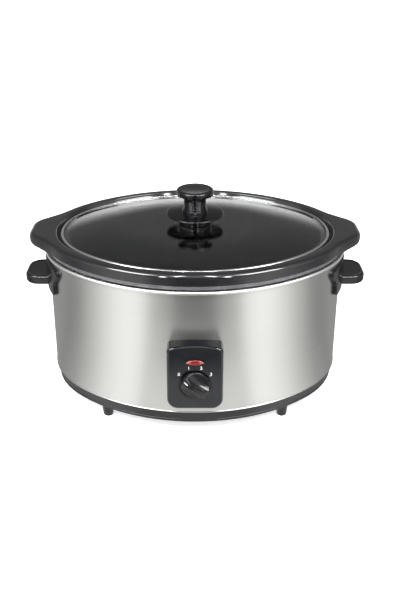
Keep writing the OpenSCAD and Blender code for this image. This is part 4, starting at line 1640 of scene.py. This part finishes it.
@dataclass
class SelectorDial:
    """Round dial with a waisted grip rib between two scoops, in mm."""

    face: float = -139.5
    level: float = 75.5
    angle: float = 144.0
    radius: float = 15.5
    under: float = -0.9
    height: float = 12.8
    crown_drop: float = 4.5
    rib_half: float = 2.3
    plate: float = 2.2
    scoop: float = 14.5
    scoop_length: float = 27.0
    scoop_power: float = 3.0
    blend: float = 0.25
    rows: int = 96
    columns: int = 40
    # place and size of the pale line painted as a highlight on the rib's end
    pointer_at: float = 11.8
    pointer_half: Point = (2.2, 0.5)
    pointer_proud: float = 0.06

    def surface(self, x: float, y: float) -> float:
        """Height of the dial's front.

        Args:
            x: place along the rib.
            y: place across the rib.

        Returns:
            The height in front of the panel.
        """
        crown = (self.radius**2 + self.crown_drop**2) / (2.0 * self.crown_drop)
        far = min(x * x + y * y, self.radius**2)
        dome = self.height - crown + math.sqrt(crown**2 - far)
        edge = max(0.0, math.sqrt(far) - self.radius + 1.0)
        dome -= 1.0 - math.sqrt(max(0.0, 1.0 - edge * edge))
        across = abs(abs(y) - self.rib_half - self.scoop) / self.scoop
        share = 1.0 - (x / self.scoop_length) ** 2 - across**self.scoop_power
        if share <= 0.0:
            return dome
        bowl = self.plate + self.scoop - self.scoop * share ** (1.0 / self.scoop_power)
        bowl -= 0.8 * (1.0 - math.sqrt(max(0.0, 1.0 - edge * edge)))
        gap = max(0.0, self.blend - abs(dome - bowl)) / self.blend
        return min(dome, bowl) - gap * gap * self.blend * 0.25

    def on_panel(self, bm: Mesh) -> None:
        """Turns a mesh drawn face up to its place on the panel.

        Args:
            bm: mesh to move, in metres.
        """
        turn = Matrix.Rotation(math.pi / 2.0, 4, "X") @ Matrix.Rotation(math.radians(self.angle), 4, "Z")
        shift = Matrix.Translation(Vector((0.0, self.face, self.level)) * MM)
        bmesh.ops.transform(bm, matrix=shift @ turn, verts=bm.verts[:])

    def knob(self) -> Mesh:
        """The dial: a round sheet of rows raised to the front's shape and closed behind."""
        bm = bmesh.new()
        bmesh.ops.create_grid(bm, x_segments=self.columns, y_segments=self.rows, size=1.0)
        for vert in bm.verts:
            y = self.radius * math.sin(vert.co.y * math.pi / 2.0)
            x = math.sqrt(max(0.0, self.radius**2 - y * y)) * math.sin(vert.co.x * math.pi / 2.0)
            vert.co = Vector((x, y, self.surface(x, y))) * MM
        bmesh.ops.remove_doubles(bm, verts=bm.verts[:], dist=2e-6)
        rim = drawn_on(bm, open_edges(bm), lambda place: Vector((place.x, place.y, self.under)))
        bmesh.ops.holes_fill(bm, edges=rim, sides=0)
        tidy(bm)
        self.on_panel(bm)
        return bm

    def pointer(self) -> Mesh:
        """A pale line along the rib's pointing end, a painted highlight on the rib's edge."""
        bm = bmesh.new()
        bmesh.ops.create_grid(bm, x_segments=10, y_segments=2, size=1.0)
        for vert in bm.verts:
            x = self.pointer_at + self.pointer_half[0] * vert.co.x
            y = self.pointer_half[1] * vert.co.y
            vert.co = Vector((x, y, self.surface(x, y) + self.pointer_proud)) * MM
        drawn_on(bm, open_edges(bm), lambda place: place - Vector((0.0, 0.0, 2.0 * self.pointer_proud)))
        face_out(bm)
        self.on_panel(bm)
        return bm

    def build(self, palette: Palette) -> None:
        """Places the dial and the painted highlight line on its rib.

        Args:
            palette: the finishes.
        """
        place_piece("dial_knob", self.knob(), palette.dial, Body.SELECTOR, ["control_dial"], 50.0)
        # Painted highlight: a pale line on the rib's end.
        place_piece("dial_painted_highlight", self.pointer(), palette.ink, Body.SELECTOR)


# Stage


@dataclass(frozen=True)
class Surround:
    """What shiny faces see: dim straight ahead, bright to both sides of the front and pale above."""

    stops: tuple[Point, ...] = (
        (0.0, 0.08), (12.0, 0.09), (17.0, 0.19), (34.0, 0.46), (55.0, 1.15), (67.0, 1.06), (80.0, 0.82),
        (95.0, 0.52), (112.0, 0.30), (138.0, 0.36), (160.0, 0.34), (180.0, 0.28),
    )
    near_stops: tuple[Point, ...] = ((0.0, 0.92), (40.0, 0.78), (80.0, 0.42), (120.0, 0.24), (180.0, 0.24))
    floor_spread: float = 1.3
    near_reach: Point = (0.25, 0.34)
    above_front: float = 1.25
    above_back: float = 0.20
    front_rise: Point = (0.50, 0.75)
    back_rise: Point = (0.08, 0.32)
    horizon: float = 0.95
    horizon_from: Point = (0.60, 1.00)
    sky_horizon_from: Point = (0.5, 0.9)
    back_from: Point = (-0.3, 0.3)

    def around(self, graph: Graph, split: bpy.types.Node, spread: float, stops: Sequence[Point]) -> Socket:
        """Level by the angle from straight ahead.

        Args:
            graph: node tree to add to.
            split: node that holds the direction.
            spread: factor on the angle.
            stops: angles and levels.

        Returns:
            The level.
        """
        ahead = graph.math("MULTIPLY", split.outputs["Y"], -1.0)
        turn = graph.math("ABSOLUTE", graph.math("ARCTAN2", split.outputs["X"], ahead))
        degrees = graph.math("MULTIPLY", graph.math("DEGREES", turn), spread)
        return graph.levels(graph.math("MINIMUM", degrees, stops[-1][0]), stops)

    def on_floor(self, graph: Graph, place: Socket) -> Socket:
        """Level of a point on the floor, seen in a shiny face.

        Args:
            graph: node tree to add to.
            place: the point.

        Returns:
            The level.
        """
        split = graph.split(place)
        level = self.around(graph, split, self.floor_spread, self.stops)
        near = graph.math("MAXIMUM", level, self.around(graph, split, 1.0, self.near_stops))
        level = graph.step(graph.length(place), self.near_reach, near, level)
        return graph.step(split.outputs["Y"], self.horizon_from, level, self.horizon)

    def in_sky(self, graph: Graph, direction: Socket) -> Socket:
        """Level of a direction above the floor, seen in a shiny face.

        Args:
            graph: node tree to add to.
            direction: the direction.

        Returns:
            The level.
        """
        split = graph.split(direction)
        around = self.around(graph, split, 1.0, self.stops)
        low = graph.step(split.outputs["Y"], self.sky_horizon_from, around, self.horizon)
        front = graph.step(split.outputs["Z"], self.front_rise, low, self.above_front)
        back = graph.step(split.outputs["Z"], self.back_rise, low, self.above_back)
        return graph.step(split.outputs["Y"], self.back_from, front, back)


@dataclass
class Studio:
    """Camera, soft lamps and a plain pale floor."""

    surround: Surround = Surround()
    camera_place: Place = (0.0, -0.8923, 0.5498)
    target: Place = (0.0, 0.0125, 0.124)
    lens: float = 49.85
    shift: Point = (0.00915, -0.03045)
    middle: Place = (0.0, 0.0, 0.1)
    floor_half: float = 8.0
    floor_glow: Point = (0.68, 1.20)
    floor_reach: Point = (0.25, 0.60)
    room_glow: float = 0.38

    def camera(self) -> None:
        """Sets the camera where the photograph was taken from."""
        data = bpy.data.cameras.new("view")
        data.lens = self.lens
        data.sensor_width = 36.0
        data.shift_x, data.shift_y = self.shift
        data.clip_start = 0.01
        bpy.context.scene.camera = self.stand("view", data, self.camera_place, self.target)

    def stand(self, name: str, data: bpy.types.ID, place: Place, aim: Place) -> bpy.types.Object:
        """Sets a camera or a lamp up.

        Args:
            name: its name.
            data: the camera or the lamp.
            place: where it stands, in metres.
            aim: the point that it faces.

        Returns:
            The new object.
        """
        made = bpy.data.objects.new(name, data)
        made.location = place
        made.rotation_euler = (Vector(aim) - Vector(place)).to_track_quat("-Z", "Y").to_euler()
        bpy.context.scene.collection.objects.link(made)
        return made

    def lamp(
        self, name: str, place: Place, aim: Place, size: Point, power: float, mirrored: bool = True
    ) -> None:
        """Adds a soft box.

        Args:
            name: its name.
            place: where it stands, in metres.
            aim: the point that it faces.
            size: its width and height, in metres.
            power: its power, in watts.
            mirrored: whether shiny faces show it.
        """
        data = bpy.data.lights.new(name, "AREA")
        data.shape = "RECTANGLE"
        data.size, data.size_y = size
        data.energy = power
        self.stand(name, data, place, aim).visible_glossy = mirrored

    def floor(self) -> None:
        """Lays a pale floor that keeps the object's shadow."""
        bm = bmesh.new()
        bmesh.ops.create_grid(bm, x_segments=1, y_segments=1, size=self.floor_half)
        mesh = bpy.data.meshes.new("floor")
        bm.to_mesh(mesh)
        bm.free()
        made = bpy.data.objects.new("floor", mesh)
        bpy.context.scene.collection.objects.link(made)
        recipe = Recipe("pale_floor").set(Base_Color=(0.80, 0.80, 0.80), Roughness=0.9)
        recipe.set(Specular_IOR_Level=0.0, Emission_Color=(1.0, 1.0, 1.0))
        path = recipe.node("ShaderNodeLightPath")
        place = recipe.node("ShaderNodeTexCoord").outputs["Object"]
        pale = recipe.between(recipe.length(place), *self.floor_glow, *self.floor_reach)
        recipe.feed("Emission Strength", recipe.math("MULTIPLY", path.outputs["Is Camera Ray"], pale))
        mirror = recipe.node("ShaderNodeEmission", in_Strength=self.surround.on_floor(recipe, place))
        mix = recipe.node("ShaderNodeMixShader", in_Fac=path.outputs["Is Glossy Ray"])
        recipe.link(recipe.shader.outputs["BSDF"], mix.inputs[1])
        recipe.link(mirror.outputs["Emission"], mix.inputs[2])
        recipe.link(mix.outputs["Shader"], recipe.tree.nodes["Material Output"].inputs["Surface"])
        mesh.materials.append(recipe.material)

    def world(self) -> None:
        """Surrounds the object with a pale room."""
        world = bpy.data.worlds.new("room")
        world.use_nodes = True
        graph = Graph(world.node_tree)
        back = graph.tree.nodes["Background"]
        back.inputs["Color"].default_value = (1.0, 1.0, 1.0, 1.0)
        path = graph.node("ShaderNodeLightPath").outputs
        seen = self.surround.in_sky(graph, graph.node("ShaderNodeTexCoord").outputs["Generated"])
        shiny = graph.node("ShaderNodeMix", in_Factor=path["Is Glossy Ray"], in_A=self.room_glow, in_B=seen)
        plain = graph.node(
            "ShaderNodeMix", in_Factor=path["Is Camera Ray"], in_A=shiny.outputs["Result"], in_B=1.0
        )
        graph.link(plain.outputs["Result"], back.inputs["Strength"])
        bpy.context.scene.world = world

    def build(self) -> None:
        """Sets up the stage."""
        bpy.context.scene.view_settings.view_transform = "Standard"
        self.camera()
        self.floor()
        self.world()
        for side, name in ((-1.0, "left"), (1.0, "right")):
            self.lamp(f"soft_{name}", (0.84 * side, -0.70, 1.15), self.middle, (0.65, 0.5), 17.0)
            self.lamp(f"strip_{name}", (0.22 * side, -0.80, 1.45), self.middle, (0.06, 0.8), 5.0)
            place, aim = (0.41 * side, -1.03, 0.74), (0.18 * side, 0.0, 0.14)
            self.lamp(f"edge_{name}", place, aim, (0.08, 0.45), 3.0)
        self.lamp("soft_top", (0.0, 0.35, 1.6), self.middle, (1.2, 0.8), 10.0, False)


def dress_frame(palette: Palette) -> None:
    """Gives every frame node its finish.

    Args:
        palette: the finishes.
    """
    dress(palette.shell, "outer_shell")
    dress(palette.liner, "heating_liner")
    dress(palette.bright, "lid_rim")
    dress(palette.mica, "heater_band")
    dress(
        palette.plated, "band_bolt", "thermal_fuse", "fuse_clip", "foot_screws", "base_stud", "base_washer",
        "base_nut", "handle_screws", "switch_nut", "switch_shaft", "knob_screw"
    )
    dress(palette.ceramic, "terminal_block", "switch_body")
    dress(
        palette.satin, "base_tray", "foot_front_left", "foot_front_right", "foot_rear_left", "foot_rear_right"
    )
    dress(palette.rubber, "cord_gland", "knob_washer")
    dress(palette.handle, "handle_left", "handle_right")
    dress(palette.panel, "control_panel")
    dress(palette.dial, "control_dial")
    dress(palette.gloss, "knob_guard", "knob_grip", "knob_cap")
    dress(palette.lens, "indicator_lens")
    dress(palette.lamp, "indicator_lamp")
    dress(palette.stoneware, "crock")
    dress(palette.glass, "lid_glass")


def main() -> None:
    """Builds the stage and every sub-assembly in order."""
    logging.basicConfig(level=logging.INFO, format="%(message)s")
    Studio().build()
    palette = Palette()
    dress_frame(palette)
    SteelBody().build(palette)
    TrayLip().build(palette)
    SideHandle("grip_right", "handle_right", 1.0).build(palette)
    SideHandle("grip_left", "handle_left", -1.0).build(palette)
    ControlPanel().build(palette)
    SelectorDial().build(palette)
    Crock().build(palette)
    Lid().build(palette)


if __name__ == "__main__":
    main()
